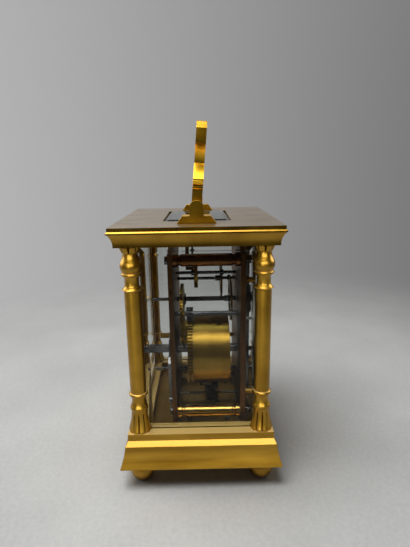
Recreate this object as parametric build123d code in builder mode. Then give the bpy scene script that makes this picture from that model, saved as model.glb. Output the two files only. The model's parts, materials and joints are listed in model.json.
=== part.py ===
"""A four-column pendulette (carriage clock) with an alarm, built piece by piece.

Millimetres, +Z up, origin on the table under the middle of the case, dial towards -Y.
"""
import os
from math import atan2, cos, degrees, hypot, pi, radians, sin, sqrt

from build123d import *

# Clearances
fit = 0.05  # round a piece that sits still in its seat
running = 0.06  # round a pivot that turns in its hole
end_shake = 0.3  # along an arbor, between its shoulders and the plates
swing = 0.3  # between case pieces that pass each other

# Case: plinth on four feet
case_width = 103.0
case_depth = 85.0
foot_height = 12.0
foot_radius = 6.6
foot_flat = 0.6  # taken off the ball where it stands
foot_neck_radius = 4.4
stud_radius = 2.0
stud_grip = 6.0
lip_height = 1.2
lip_inset = 0.3
face_height = 10.6
face_inset = 2.55
face_hollow = 0.35
bevel_height = 2.7
bevel_inset = 1.45
sill_height = 3.7
opening_inset = 4.7  # the plinth's opening in from the column axes
floor_ledge = 3.0
floor_thickness = 2.5
floor_drop = 4.7  # from the sill's top down to the floor's top

# Case: columns. Members of the base by their height, those of the capital by their drop from the top
corner_inset = 10.3  # column axis in from the plinth's edges
column_height = 99.0
spigot_height = 4.0
ring_half_height = 0.9
shaft_radius = 4.1
base_flare_radius = 6.0
base_flare_edge = 0.9
bell_radius_low = 4.6
bell_radius_top = 4.2
bell_middle_at = 6.6
bell_top_at = 11.2
bell_ring_radius = 4.7
bell_ring_from = 11.7
bell_ring_to = 14.6
lower_neck_radius = 3.6
lower_neck_at = 17.8
shaft_ring_radius = 4.95
shaft_ring_at = 21.1
collar_radius = 5.05
collar_slope = 0.8  # of height, from the shaft out to the collar
collar_hollow = 0.3
collar_drop = 21.6
upper_neck_radius = 3.55
upper_neck_low_drop = 19.4
upper_neck_top_drop = 16.0
vase_ring_radius = 5.1
vase_ring_drop = 13.9
vase_groove_radius = 4.35
vase_foot_radius = 4.6
vase_foot_drop = 12.6
vase_bulge_radius = 5.4
vase_bulge_drop = 10.0
vase_turn_radius = 4.75  # where the bulge turns into the hollow above it
vase_turn_drop = 7.4
vase_neck_radius = 3.65
vase_neck_drop = 3.8
crown_foot_radius = 4.1
crown_foot_drop = 3.4
crown_radius = 5.35
crown_edge = 0.6

# Case: cornice and its window
cornice_inset = 3.5
cove_height = 6.4
cove_reach = 2.1
cove_hollow = 0.55
band_height = 1.3
band_reach = 0.4
band_bevel = 0.6
slab_height = 1.75
cavity_inset_x = 3.7  # cavity and window in from the column axes
cavity_inset_y = 5.2
cavity_height = 5.0
window_inset_x = 15.2
window_inset_y = 14.7
window_ledge = 1.6
window_depth = 2.4

# Glass
glass_edge = 1.6
glass_thickness = 2.8
glass_bevel = 3.0
glass_inset = 1.0  # inner face in from the column axis
groove_depth = 1.5
groove_reach = 2.6  # bottom of a column's groove, from the column axis

# Rear door
door_stile = 5.0
door_thickness = 3.5
door_setback = 0.75  # middle of the frame behind the column axis
door_rebate = 1.5
door_pin_radius = 0.9
door_pin_grip = 2.6
knob_radius = 2.3
knob_reach = 4.6
knob_neck = 1.6
knob_round = 1.1

# Handle
pivot_rise = 7.6  # handle axis above the cornice
handle_lean = 5.0  # degrees, towards the dial
bracket_inset = 3.2  # outer face of each bracket in from the column axis
bracket_foot_x = 7.0
bracket_length = 19.3
bracket_shoulder = 13.7
bracket_foot_height = 3.7
lug_thickness = 3.4
lug_width = 6.8
lug_skin = 0.8  # left outside the pin's blind hole
handle_depth = 5.0
handle_bar = 4.3
handle_pin_radius = 1.2
handle_rise = 42.5  # top of the grip above the axis
bracket_screw_spread = 9.0
# Handle edges, each point out from the arm's outer face and up from the axis
handle_arm = ((0.0, 0.0), (0.0, 8.6), (0.5, 9.0), (0.5, 9.8), (0.1, 10.2), (1.1, 10.9))
handle_slope = ((1.1, 10.9), (0.6, 12.5), (0.1, 12.8), (0.4, 13.4), (-6.4, 20.8))
handle_flare = (-4.6, 25.8)
handle_ridge = ((-0.7, 29.8), (-0.7, 31.0))
handle_shoulder = ((-1.6, 36.8), (-5.0, 39.8))
handle_inside = ((-7.6, 35.5), (-5.3, 33.1), (-5.6, 30.2), (-10.8, 20.8))
handle_inside_foot = 11.2
handle_inside_round = 2.0

# Screws
screw_radius = 1.2
screw_head_radius = 2.3
screw_head_height = 1.7

# Levels and places of the case that follow from the sizes above
half_width = case_width / 2
half_depth = case_depth / 2
plinth_z = foot_height
sill_z = plinth_z + lip_height + face_height + bevel_height
column_z = sill_z + sill_height
cornice_z = column_z + column_height
top_z = cornice_z + cove_height + band_height + slab_height
pivot_z = top_z + pivot_rise
column_x = half_width - corner_inset
column_y = half_depth - corner_inset
front_pane_y = glass_inset - column_y
plinth_opening_x = column_x - opening_inset
plinth_opening_y = column_y - opening_inset
floor_z = column_z - floor_drop
floor_under_z = floor_z - floor_thickness
cavity_x = column_x - cavity_inset_x
cavity_y = column_y - cavity_inset_y
window_length = 2 * (column_x - window_inset_x)
window_width = 2 * (column_y - window_inset_y)
window_z = top_z - window_depth
bracket_x = column_x - bracket_inset
door_y = column_y + door_setback
door_edge_x = column_x - base_flare_radius - 2 * swing
hinge_x = -(door_edge_x - door_thickness / 2)

# Movement: its calibre is chosen for the room in the case, and its sizes are drawn for calibre 1
drawn_room = (40.2, 31.2, 108.7)  # half width, half depth and height for calibre 1
room = (column_x - glass_inset, column_y - glass_inset, cornice_z + cavity_height - floor_z)
calibre = min(now / drawn for now, drawn in zip(room, drawn_room))


def in_plates(x, height):
    """A place on the plates, from the drawing's middle and its height over the floor."""
    return (x * calibre, floor_z + height * calibre)


def along_y(front, back):
    """The front and back face of a member along Y, from the drawing."""
    return (front * calibre, back * calibre)


# Movement: plates and pillars
plate_x = 31.5 * calibre
back_plate_y = 13.0 * calibre  # inner face
back_plate_thickness = 2.5 * calibre
front_plate_y = -22.0 * calibre  # inner face
front_plate_thickness = 2.7 * calibre
plates_top = floor_z + 97.0 * calibre
pillar_x = 27.0 * calibre
pillar_low_z = floor_z + 6.1 * calibre
pillar_high_z = floor_z + 93.1 * calibre
pillar_radius = 3.3 * calibre
pillar_end_radius = 3.6 * calibre
pillar_waist_radius = 2.7 * calibre
pillar_land = 2.4 * calibre
pillar_slope = 0.6 * calibre
pillar_waist = 0.8 * calibre
screw_grip = 5.0 * calibre
base_screw_inset = 7.0 * calibre  # from the plates to the screws that come up through the floor

# Toothing, in modules and in shares of a tooth's pitch
addendum = 0.8
dedendum = 1.2
root_share = 0.28
tip_share = 0.11

# Going train: tooth counts, and where each arbor stands
great_teeth, intermediate_leaves = 72, 12
intermediate_teeth, centre_leaves = 60, 10
centre_teeth, third_leaves = 64, 8
third_teeth, contrate_leaves = 60, 8
contrate_teeth, escape_leaves = 48, 6
cannon_leaves, minute_teeth = 12, 36
minute_leaves, hour_teeth = 10, 40
centre_at = in_plates(0.0, 63.7)
barrel_at = in_plates(-13.0, 38.0)
intermediate_at = in_plates(-19.0, 61.0)
third_module = 0.36 * calibre
centre_module = 0.40 * calibre
contrate_module = 0.354 * calibre
third_bearing = 43.0  # degrees, from the centre arbor
minute_bearing = -60.0
motion_module = 0.40 * calibre

# Going train: stations along Y, front and back face of each toothed ring
great_wheel_y = along_y(3.7, 6.4)
intermediate_wheel_y = along_y(8.2, 9.8)
centre_wheel_y = along_y(-19.2, -18.2)
third_wheel_y = along_y(-14.2, -13.2)
pinion_margin = 0.5 * calibre  # how far a pinion stands past its wheel on each side
arbor_radius = 1.4 * calibre
slim_arbor_radius = 0.95 * calibre
pivot_radius = 0.7 * calibre
collet_radius = 1.8 * calibre  # boss behind a wheel, on its arbor
collet_length = 3.0 * calibre
centre_tail_y = 27.7 * calibre
centre_radius = 1.0 * calibre
wheel_rim = 1.7 * calibre
wheel_hub = 3.0 * calibre
spoke_width = 1.5 * calibre
spokes = 4
crown_face = 1.0 * calibre  # length of the contrate wheel's upright teeth
crown_disc = 0.8 * calibre
crown_rim = 1.4 * calibre
crown_turn = 45.0

# Barrel
drum_radius = 19.2 * calibre
drum_wall = 1.4 * calibre
drum_front_y = -16.5 * calibre
drum_cover = 1.2 * calibre
barrel_arbor_radius = 2.4 * calibre
barrel_core_radius = 5.0 * calibre
winding_square = 3.6 * calibre
winding_tip_y = 30.3 * calibre
spring_strip = 0.6 * calibre
spring_turns = 7
spring_side_gap = 0.5 * calibre

# Ratchet work on the back plate
ratchet_teeth = 18
ratchet_radius = 8.4 * calibre
ratchet_tooth = 1.2 * calibre
ratchet_rake = 0.08  # of a tooth's pitch
ratchet_thickness = 1.6 * calibre
ratchet_lift = 0.3 * calibre
click_at = in_plates(-25.0, 33.0)
click_hub_radius = 2.2 * calibre
click_arm = 2.4 * calibre
click_clearance = 0.2 * calibre
click_nose = (22.0, 20.0)  # degrees behind the click's own bearing, tip and heel
click_spring_foot = in_plates(-26.5, 12.5)
click_spring_strip = 0.6 * calibre
click_pin_radius = 1.2 * calibre

# Motion work, hands and dials
motion_y = -25.0 * calibre
motion_wheel_thickness = 0.7 * calibre
cannon_bore = 0.7 * calibre
cannon_pipe_radius = 1.2 * calibre
hour_pipe_radius = 2.0 * calibre
dial_back_y = -27.4 * calibre
dial_thickness = 1.0 * calibre
dial_radius = 28.0 * calibre
dial_rim = 1.0 * calibre  # how far the mask laps over a dial
mask_thickness = 0.8 * calibre
mask_gap = 0.4
mask_post_x = 28.5 * calibre
mask_post_z = (floor_z + 18.5 * calibre, floor_z + 82.5 * calibre)
mask_post_radius = 1.5 * calibre
dial_foot_radius = 0.8 * calibre
dial_foot_circle = 24.0 * calibre
dial_foot_angles = (90.0, 190.0, 350.0)
hand_thickness = 0.4 * calibre
hand_stem = 0.45 * calibre  # half widths
hand_leaf = 1.3 * calibre
hand_leaf_from = 0.55  # of the hand's length
hand_leaf_widest = 0.7
hour_hand_length = 15.5 * calibre
hour_hand_boss = 3.0 * calibre
hour_hand_angle = 150.0
minute_hand_length = 23.5 * calibre
minute_hand_boss = 2.2 * calibre
minute_hand_angle = 30.0
hour_hand_y = -29.9 * calibre
minute_hand_y = -30.7 * calibre

# Alarm
alarm_at = in_plates(0.0, 18.6)
alarm_dial_radius = 11.5 * calibre
alarm_dial_foot_circle = 8.0 * calibre
alarm_dial_foot_angles = (30.0, 150.0)
alarm_hand_length = 7.5 * calibre
alarm_hand_boss = 1.9 * calibre
alarm_hand_angle = 90.0
alarm_barrel_at = in_plates(19.5, 32.5)
alarm_barrel_radius = 10.5 * calibre
alarm_barrel_y = along_y(-1.5, 10.0)
alarm_square = 2.6 * calibre
alarm_square_tip_y = 26.0 * calibre
bell_at = in_plates(8.5, 9.7)
bell_radius = 8.5 * calibre
bell_wall = 0.9 * calibre
bell_crown = 1.2 * calibre
bell_y = along_y(-11.0, -3.0)
bell_stud_radius = 1.5 * calibre
hammer_at = in_plates(-3.6, 3.6)
hammer_y = -3.3 * calibre
hammer_head_radius = 1.6 * calibre
hammer_head_length = 7.6 * calibre
hammer_gap = 0.8 * calibre
hammer_rod_radius = 0.8 * calibre

# Platform escapement
platform_x = 17.0 * calibre
platform_thickness = 2.0 * calibre
escape_y = 3.3 * calibre
escape_radius = 4.6 * calibre
escape_tooth = 1.3 * calibre
escape_club_teeth = 15
escape_club = ((0.0, -0.3), (1.0, 0.1), (1.0, 0.22), (0.0, 0.12))  # share of tooth, of pitch
escape_rim = 0.8 * calibre
escape_spoke = 0.6 * calibre
escape_plane = 0.9 * calibre  # underside of the wheel above the platform
escape_wheel_thickness = 0.6 * calibre
escape_arbor_radius = 0.6 * calibre
escape_pivot_radius = 0.4 * calibre
lever_reach = 5.8 * calibre  # escape arbor to lever arbor
lever_gap = 0.45 * calibre  # pallets outside the wheel's tips
lever_width = 1.0 * calibre
pallet_bearing = 32.0
balance_reach = 12.5 * calibre  # escape arbor to balance staff
balance_radius = 7.0 * calibre
balance_rim = 1.2 * calibre
balance_thickness = 1.2 * calibre
balance_hub_radius = 1.2 * calibre
balance_plane = 3.7 * calibre
staff_radius = 0.5 * calibre
roller_radius = 2.0 * calibre
impulse_circle = 1.6 * calibre
impulse_pin_radius = 0.25 * calibre
hairspring_inner = 1.4 * calibre
hairspring_strip = 0.12 * calibre
hairspring_pitch = 0.6 * calibre
hairspring_turns = 5
hairspring_height = 0.5 * calibre
hairspring_plane = 5.4 * calibre
bridge_plane = 2.3 * calibre
bridge_thickness = 1.0 * calibre
bridge_width = 5.0 * calibre
bridge_foot = 4.0 * calibre
cock_plane = 6.7 * calibre
cock_thickness = 1.4 * calibre
cock_width = 6.0 * calibre
cock_foot = 4.0 * calibre
potence_width = 4.0 * calibre
potence_foot = 1.8 * calibre
escape_leaf_length = 3.0 * calibre

# Levels and places of the movement that follow from the sizes above
back_outer_y = back_plate_y + back_plate_thickness
front_outer_y = front_plate_y - front_plate_thickness
base_screw_places = [
    (x, y)
    for x in (-pillar_x, pillar_x)
    for y in (back_plate_y - base_screw_inset, front_plate_y + base_screw_inset)
]
platform_z = plates_top + platform_thickness
mask_x = column_x - base_flare_radius - mask_gap
mask_y = dial_back_y - dial_thickness
great_module = 2 * hypot(
    intermediate_at[0] - barrel_at[0], intermediate_at[1] - barrel_at[1]
) / (great_teeth + intermediate_leaves)
intermediate_module = 2 * hypot(
    centre_at[0] - intermediate_at[0], centre_at[1] - intermediate_at[1]
) / (intermediate_teeth + centre_leaves)
hour_module = motion_module * (cannon_leaves + minute_teeth) / (minute_leaves + hour_teeth)


def polar(radius, angle, middle=(0.0, 0.0)):
    """A point at an angle in degrees about a middle."""
    return (
        middle[0] + radius * cos(radians(angle)),
        middle[1] + radius * sin(radians(angle)),
    )


def bearing(start, end):
    """The direction in degrees from one point to another."""
    return degrees(atan2(end[1] - start[1], end[0] - start[0]))


third_at = polar(centre_module * (centre_teeth + third_leaves) / 2, third_bearing, centre_at)
third_to_contrate = third_module * (third_teeth + contrate_leaves) / 2
contrate_at = (
    centre_at[0],
    third_at[1] + sqrt(third_to_contrate**2 - (third_at[0] - centre_at[0]) ** 2),
)
minute_at = polar(
    motion_module * (cannon_leaves + minute_teeth) / 2, minute_bearing, centre_at
)


def meshing_phase(phase, teeth, other_teeth, direction):
    """Where a second wheel's first tooth stands so that it is in mesh with the first wheel."""
    past_a_tooth = (direction - phase) * teeth / 360
    return direction + 180 - 360 / other_teeth * (0.5 - past_a_tooth)


def facing_front(y):
    """A plane across the movement at y, drawn in X and Z, whose extrusions run to the front."""
    return Plane.XZ.offset(-y)


def toothed_outline(teeth, module, phase, middle):
    """A wheel's face with flat-flanked teeth, in the sketch being drawn."""
    tip = module * (teeth / 2 + addendum)
    root = module * (teeth / 2 - dedendum)
    corners = ((root, -root_share), (tip, -tip_share), (tip, tip_share), (root, root_share))
    points = [
        polar(radius, phase + (tooth + share) * 360 / teeth, middle)
        for tooth in range(teeth)
        for radius, share in corners
    ]
    with BuildLine() as outline:
        Polyline(*points, close=True)
    make_face(outline.edges())


def crossed_wheel(teeth, module, phase, middle, bore):
    """A train wheel's face: toothed rim, hub with its bore, and straight crossings."""
    toothed_outline(teeth, module, phase, middle)
    rim_inside = module * (teeth / 2 - dedendum) - wheel_rim
    with Locations(middle):
        Circle(rim_inside, mode=Mode.SUBTRACT)
        for arm in range(spokes):
            Rectangle(
                rim_inside + wheel_rim / 2,
                spoke_width,
                rotation=phase + arm * 360 / spokes,
                align=(Align.MIN, Align.CENTER),
            )
        Circle(wheel_hub)
        Circle(bore, mode=Mode.SUBTRACT)


def turned_along_y(middle, members, mode=Mode.ADD):
    """Round members of a shaft along Y, each a radius with its back and front ends."""
    for radius, back, front in members:
        with Locations((middle[0], (back + front) / 2, middle[1])):
            Cylinder(radius, back - front, rotation=(90, 0, 0), mode=mode)


def turned_along_z(x, y, members, mode=Mode.ADD):
    """Round members of an upright shaft, each a radius with its bottom and top."""
    for radius, bottom, top in members:
        with Locations((x, y, (bottom + top) / 2)):
            Cylinder(radius, top - bottom, mode=mode)


def pinion(middle, leaves, module, phase, stations):
    """Leaves cut on an arbor, standing a little past the wheel that they work with."""
    back = stations[1] + pinion_margin
    with BuildSketch(facing_front(back)) as section:
        toothed_outline(leaves, module, phase, middle)
    extrude(section.sketch, amount=stations[1] - stations[0] + 2 * pinion_margin)


def box_between(low, high, mode=Mode.ADD):
    """A box from its lowest to its highest corner."""
    middle = [(a + b) / 2 for a, b in zip(low, high)]
    with Locations(tuple(middle)):
        Box(high[0] - low[0], high[1] - low[1], high[2] - low[2], mode=mode)


def bevelled_pane(plane, width, height, hidden=0.0):
    """A pane from its inner face: a thin edge, hidden in its groove, then a ground bevel."""
    with BuildSketch(plane) as inner_face:
        Rectangle(width, height)
    extrude(inner_face.sketch, amount=glass_edge)
    with BuildSketch(plane.offset(glass_edge)) as bevel_edge:
        Rectangle(width - 2 * hidden, height - 2 * hidden)
    with BuildSketch(plane.offset(glass_thickness)) as outer_face:
        Rectangle(width - 2 * (hidden + glass_bevel), height - 2 * (hidden + glass_bevel))
    loft([bevel_edge.sketch, outer_face.sketch], ruled=True)


def spiral_turn_arcs(inner, pitch, turns):
    """The middle, radius and start angle of each half turn of a flat spiral."""
    return [
        ((half % 2) * pitch / 2, inner + half * pitch / 2, 180 * (half % 2))
        for half in range(2 * turns)
    ]


def spiral_strip(inner, pitch, turns, strip, middle=(0.0, 0.0)):
    """One unbroken flat strip wound outwards in half turns, in the sketch being drawn."""
    arcs = spiral_turn_arcs(inner, pitch, turns)
    with BuildLine() as outline:
        for side in (-strip / 2, strip / 2):
            for shift, radius, start in arcs:
                CenterArc((middle[0] + shift, middle[1]), radius + side, start, 180)
        Line((middle[0] + inner - strip / 2, middle[1]), (middle[0] + inner + strip / 2, middle[1]))
        outer = inner + turns * pitch
        Line((middle[0] + outer - strip / 2, middle[1]), (middle[0] + outer + strip / 2, middle[1]))
    make_face(outline.edges())


def least_spiral_gap(inner, pitch, turns, strip, steps=36):
    """The least space between neighbouring turns, measured on points along the strip."""
    points = [
        (shift + radius * cos(radians(start + 180 * k / steps)),
         radius * sin(radians(start + 180 * k / steps)))
        for shift, radius, start in spiral_turn_arcs(inner, pitch, turns)
        for k in range(steps)
    ]
    apart = [
        hypot(p[0] - q[0], p[1] - q[1])
        for i, p in enumerate(points)
        for q in points[i + steps:]
    ]
    return min(apart) - strip


pieces = {}


# Plinth, floor and feet

def plinth_edge(half):
    """Half of the plinth's section, out to a half width."""
    lip = (half - lip_inset, plinth_z + lip_height)
    face_top = (lip[0] - face_inset, lip[1] + face_height)
    hollow = ((lip[0] + face_top[0]) / 2 - face_hollow, (lip[1] + face_top[1]) / 2)
    sill = (face_top[0] - bevel_inset, sill_z)
    Polyline((0, plinth_z), (half, plinth_z), lip)
    ThreePointArc(lip, hollow, face_top)
    Polyline(face_top, sill, (sill[0], column_z), (0, column_z))


with BuildPart() as base_plinth:
    with BuildSketch(Plane.XZ):
        with BuildLine():
            plinth_edge(half_width)
            mirror(about=Plane.YZ)
        make_face()
    extrude(amount=half_depth, both=True)
    with BuildSketch(Plane.YZ):
        with BuildLine():
            plinth_edge(half_depth)
            mirror(about=Plane.YZ)
        make_face()
    extrude(amount=half_width, both=True, mode=Mode.INTERSECT)
    box_between(
        (-plinth_opening_x, -plinth_opening_y, floor_under_z),
        (plinth_opening_x, plinth_opening_y, column_z),
        mode=Mode.SUBTRACT,
    )
    box_between(
        (floor_ledge - plinth_opening_x, floor_ledge - plinth_opening_y, plinth_z),
        (plinth_opening_x - floor_ledge, plinth_opening_y - floor_ledge, column_z),
        mode=Mode.SUBTRACT,
    )
    for side in (-1, 1):
        inner = column_x - glass_inset
        box_between(
            (min(side * (inner - fit), side * (inner + glass_edge + fit)),
             -column_y, column_z - groove_depth),
            (max(side * (inner - fit), side * (inner + glass_edge + fit)),
             column_y, column_z),
            mode=Mode.SUBTRACT,
        )
        for end in (-1, 1):
            turned_along_z(
                side * column_x, end * column_y,
                [(stud_radius + fit, plinth_z, column_z)], mode=Mode.SUBTRACT,
            )
    box_between(
        (-column_x, front_pane_y - glass_edge - fit, column_z - groove_depth),
        (column_x, front_pane_y + fit, column_z),
        mode=Mode.SUBTRACT,
    )
    turned_along_z(
        hinge_x, door_y,
        [(door_pin_radius + fit, column_z - door_pin_grip, column_z)], mode=Mode.SUBTRACT,
    )
pieces["base_plinth"] = base_plinth

with BuildPart() as base_floor:
    box_between(
        (fit - plinth_opening_x, fit - plinth_opening_y, floor_under_z),
        (plinth_opening_x - fit, plinth_opening_y - fit, floor_z),
    )
    for x, y in base_screw_places:
        turned_along_z(x, y, [(screw_radius + fit, floor_under_z, floor_z)], mode=Mode.SUBTRACT)
pieces["base_floor"] = base_floor

with BuildPart() as foot:
    with Locations((0, 0, foot_radius - foot_flat)):
        Sphere(foot_radius)
    split(bisect_by=Plane.XY, keep=Keep.TOP)
    split(bisect_by=Plane.XY.offset(foot_height), keep=Keep.BOTTOM)
    turned_along_z(
        0, 0,
        [
            (foot_neck_radius, foot_height / 2, foot_height),
            (stud_radius, foot_height, column_z + stud_grip),
        ],
    )

with BuildPart() as feet:
    with GridLocations(2 * column_x, 2 * column_y, 2, 2):
        add(foot.part)
pieces["feet"] = feet


# Columns, turned in one piece and grooved for the glass

collar_z = column_height - collar_drop
vase_ring_z = column_height - vase_ring_drop
vase_neck_z = column_height - vase_neck_drop

with BuildPart() as column:
    with BuildSketch(Plane.XZ):
        with BuildLine():
            Polyline(
                (0, stud_grip + fit),
                (stud_radius + fit, stud_grip + fit),
                (stud_radius + fit, 0),
                (base_flare_radius, 0),
                (base_flare_radius, base_flare_edge),
            )
            ThreePointArc(
                (base_flare_radius, base_flare_edge),
                (bell_radius_low, bell_middle_at),
                (bell_radius_top, bell_top_at),
            )
            Line((bell_radius_top, bell_top_at), (bell_radius_top, bell_ring_from))
            ThreePointArc(
                (bell_radius_top, bell_ring_from),
                (bell_ring_radius, (bell_ring_from + bell_ring_to) / 2),
                (bell_radius_top, bell_ring_to),
            )
            ThreePointArc(
                (bell_radius_top, bell_ring_to),
                (lower_neck_radius, lower_neck_at),
                (shaft_radius, shaft_ring_at - ring_half_height),
            )
            ThreePointArc(
                (shaft_radius, shaft_ring_at - ring_half_height),
                (shaft_ring_radius, shaft_ring_at),
                (shaft_radius, shaft_ring_at + ring_half_height),
            )
            Polyline(
                (shaft_radius, shaft_ring_at + ring_half_height),
                (shaft_radius, collar_z - collar_slope),
                (collar_radius, collar_z),
            )
            neck_from = (upper_neck_radius, column_height - upper_neck_low_drop)
            ThreePointArc(
                (collar_radius, collar_z),
                ((collar_radius + neck_from[0]) / 2 - collar_hollow, (collar_z + neck_from[1]) / 2),
                neck_from,
            )
            Polyline(
                neck_from,
                (upper_neck_radius, column_height - upper_neck_top_drop),
                (shaft_radius, vase_ring_z - ring_half_height),
            )
            ThreePointArc(
                (shaft_radius, vase_ring_z - ring_half_height),
                (vase_ring_radius, vase_ring_z),
                (vase_groove_radius, vase_ring_z + ring_half_height),
            )
            vase_foot = (vase_foot_radius, column_height - vase_foot_drop)
            vase_turn = (vase_turn_radius, column_height - vase_turn_drop)
            Line((vase_groove_radius, vase_ring_z + ring_half_height), vase_foot)
            bulge = ThreePointArc(
                vase_foot, (vase_bulge_radius, column_height - vase_bulge_drop), vase_turn
            )
            TangentArc(vase_turn, (vase_neck_radius, vase_neck_z), tangent=bulge % 1)
            Polyline(
                (vase_neck_radius, vase_neck_z),
                (crown_foot_radius, column_height - crown_foot_drop),
                (crown_radius, column_height - crown_edge),
                (crown_radius, column_height),
                (stud_radius, column_height),
                (stud_radius, column_height + spigot_height),
                (0, column_height + spigot_height),
                (0, stud_grip + fit),
            )
        make_face()
    revolve(axis=Axis.Z)

groove_cuts = (
    (glass_edge, groove_reach),
    (glass_thickness, groove_reach + groove_depth - 2 * fit),
)
for name, side, end in (
    ("column_front_left", -1, -1),
    ("column_front_right", 1, -1),
    ("column_rear_left", -1, 1),
    ("column_rear_right", 1, 1),
):
    with BuildPart() as corner_column:
        with Locations((side * column_x, end * column_y, column_z)):
            add(column.part)
        for thickness, reach in groove_cuts:
            across = glass_inset - thickness / 2
            along = reach + base_flare_radius / 2
            middle_z = column_z + column_height / 2
            with Locations((side * (column_x - across), end * (column_y - along), middle_z)):
                Box(thickness + 2 * fit, base_flare_radius, column_height, mode=Mode.SUBTRACT)
            if end < 0:
                with Locations((side * (column_x - along), end * (column_y - across), middle_z)):
                    Box(base_flare_radius, thickness + 2 * fit, column_height, mode=Mode.SUBTRACT)
    pieces[name] = corner_column


# Cornice and the pane in its top

def cornice_edge(half):
    """Half of the cornice's section, out to a half width."""
    foot_edge = (half - cornice_inset, cornice_z)
    cove_top = (foot_edge[0] + cove_reach, cornice_z + cove_height)
    hollow = (
        (foot_edge[0] + cove_top[0]) / 2 - cove_hollow,
        (foot_edge[1] + cove_top[1]) / 2 + cove_hollow,
    )
    band_x = cove_top[0] + band_reach
    band_z = cove_top[1] + band_height
    Line((0, cornice_z), foot_edge)
    ThreePointArc(foot_edge, hollow, cove_top)
    Polyline(
        cove_top,
        (band_x, cove_top[1]),
        (band_x, band_z - band_bevel),
        (band_x - band_bevel, band_z),
        (band_x - band_bevel, top_z),
        (0, top_z),
    )


with BuildPart() as cornice:
    with BuildSketch(Plane.XZ):
        with BuildLine():
            cornice_edge(half_width)
            mirror(about=Plane.YZ)
        make_face()
    extrude(amount=half_depth, both=True)
    with BuildSketch(Plane.YZ):
        with BuildLine():
            cornice_edge(half_depth)
            mirror(about=Plane.YZ)
        make_face()
    extrude(amount=half_width, both=True, mode=Mode.INTERSECT)
    box_between(
        (-cavity_x, -cavity_y, cornice_z),
        (cavity_x, cavity_y, cornice_z + cavity_height),
        mode=Mode.SUBTRACT,
    )
    box_between(
        (window_ledge - window_length / 2, window_ledge - window_width / 2, cornice_z),
        (window_length / 2 - window_ledge, window_width / 2 - window_ledge, top_z),
        mode=Mode.SUBTRACT,
    )
    box_between(
        (-window_length / 2 - fit, -window_width / 2 - fit, window_z),
        (window_length / 2 + fit, window_width / 2 + fit, top_z),
        mode=Mode.SUBTRACT,
    )
    for side in (-1, 1):
        inner = column_x - glass_inset
        box_between(
            (min(side * (inner - fit), side * (inner + glass_edge + fit)),
             -column_y, cornice_z),
            (max(side * (inner - fit), side * (inner + glass_edge + fit)),
             column_y, cornice_z + groove_depth),
            mode=Mode.SUBTRACT,
        )
        for end in (-1, 1):
            turned_along_z(
                side * column_x, end * column_y,
                [(stud_radius + fit, cornice_z, cornice_z + spigot_height + fit)],
                mode=Mode.SUBTRACT,
            )
            turned_along_z(
                side * (bracket_x - bracket_foot_x / 2), end * bracket_screw_spread / 2,
                [(screw_radius + fit, cornice_z, top_z)], mode=Mode.SUBTRACT,
            )
    box_between(
        (-column_x, front_pane_y - glass_edge - fit, cornice_z),
        (column_x, front_pane_y + fit, cornice_z + groove_depth),
        mode=Mode.SUBTRACT,
    )
    turned_along_z(
        hinge_x, door_y,
        [(door_pin_radius + fit, cornice_z, cornice_z + door_pin_grip)], mode=Mode.SUBTRACT,
    )
pieces["cornice"] = cornice

with BuildPart() as top_glass:
    bevelled_pane(Plane.XY.offset(window_z), window_length, window_width)
pieces["top_glass"] = top_glass


# Side and front panes, let into the columns, the plinth and the cornice

pane_z = column_z + column_height / 2
pane_height = column_height + 2 * (groove_depth - fit)
side_pane_width = 2 * (column_y - groove_reach - fit)
front_pane_width = 2 * (column_x - groove_reach - fit)

for name, side in (("left_glass", -1), ("right_glass", 1)):
    with BuildPart() as side_glass:
        bevelled_pane(
            Plane(
                origin=(side * (column_x - glass_inset), 0, pane_z),
                x_dir=(0, side, 0),
                z_dir=(side, 0, 0),
            ),
            side_pane_width,
            pane_height,
            hidden=groove_depth,
        )
    pieces[name] = side_glass

with BuildPart() as front_glass:
    bevelled_pane(
        Plane(origin=(0, front_pane_y, pane_z), x_dir=(1, 0, 0), z_dir=(0, -1, 0)),
        front_pane_width,
        pane_height,
        hidden=groove_depth,
    )
pieces["front_glass"] = front_glass


# Rear door: frame on two pins, pane and knob

door_bottom = column_z + swing
door_top = cornice_z - swing
door_middle_z = (door_bottom + door_top) / 2
door_inner_y = door_y - door_thickness / 2
door_light_x = door_edge_x - door_stile
door_light_z = (door_top - door_bottom) / 2 - door_stile

with BuildPart() as door_frame:
    box_between(
        (hinge_x, door_inner_y, door_bottom),
        (door_edge_x, door_inner_y + door_thickness, door_top),
    )
    turned_along_z(hinge_x, door_y, [(door_thickness / 2, door_bottom, door_top)])
    box_between(
        (-door_light_x, door_inner_y, door_middle_z - door_light_z),
        (door_light_x, door_inner_y + door_thickness, door_middle_z + door_light_z),
        mode=Mode.SUBTRACT,
    )
    box_between(
        (-door_light_x - door_rebate - fit, door_inner_y,
         door_middle_z - door_light_z - door_rebate - fit),
        (door_light_x + door_rebate + fit, door_inner_y + glass_edge + 2 * fit,
         door_middle_z + door_light_z + door_rebate + fit),
        mode=Mode.SUBTRACT,
    )
    turned_along_z(
        hinge_x, door_y,
        [
            (door_pin_radius + running, door_bottom, door_bottom + door_pin_grip),
            (door_pin_radius + running, door_top - door_pin_grip, door_top),
        ],
        mode=Mode.SUBTRACT,
    )
    knob_x = door_edge_x - door_stile / 2
    turned_along_y(
        (knob_x, door_middle_z),
        [(screw_radius, door_inner_y + door_thickness, door_inner_y + door_thickness / 2)],
        mode=Mode.SUBTRACT,
    )
pieces["door_frame"] = door_frame

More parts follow.
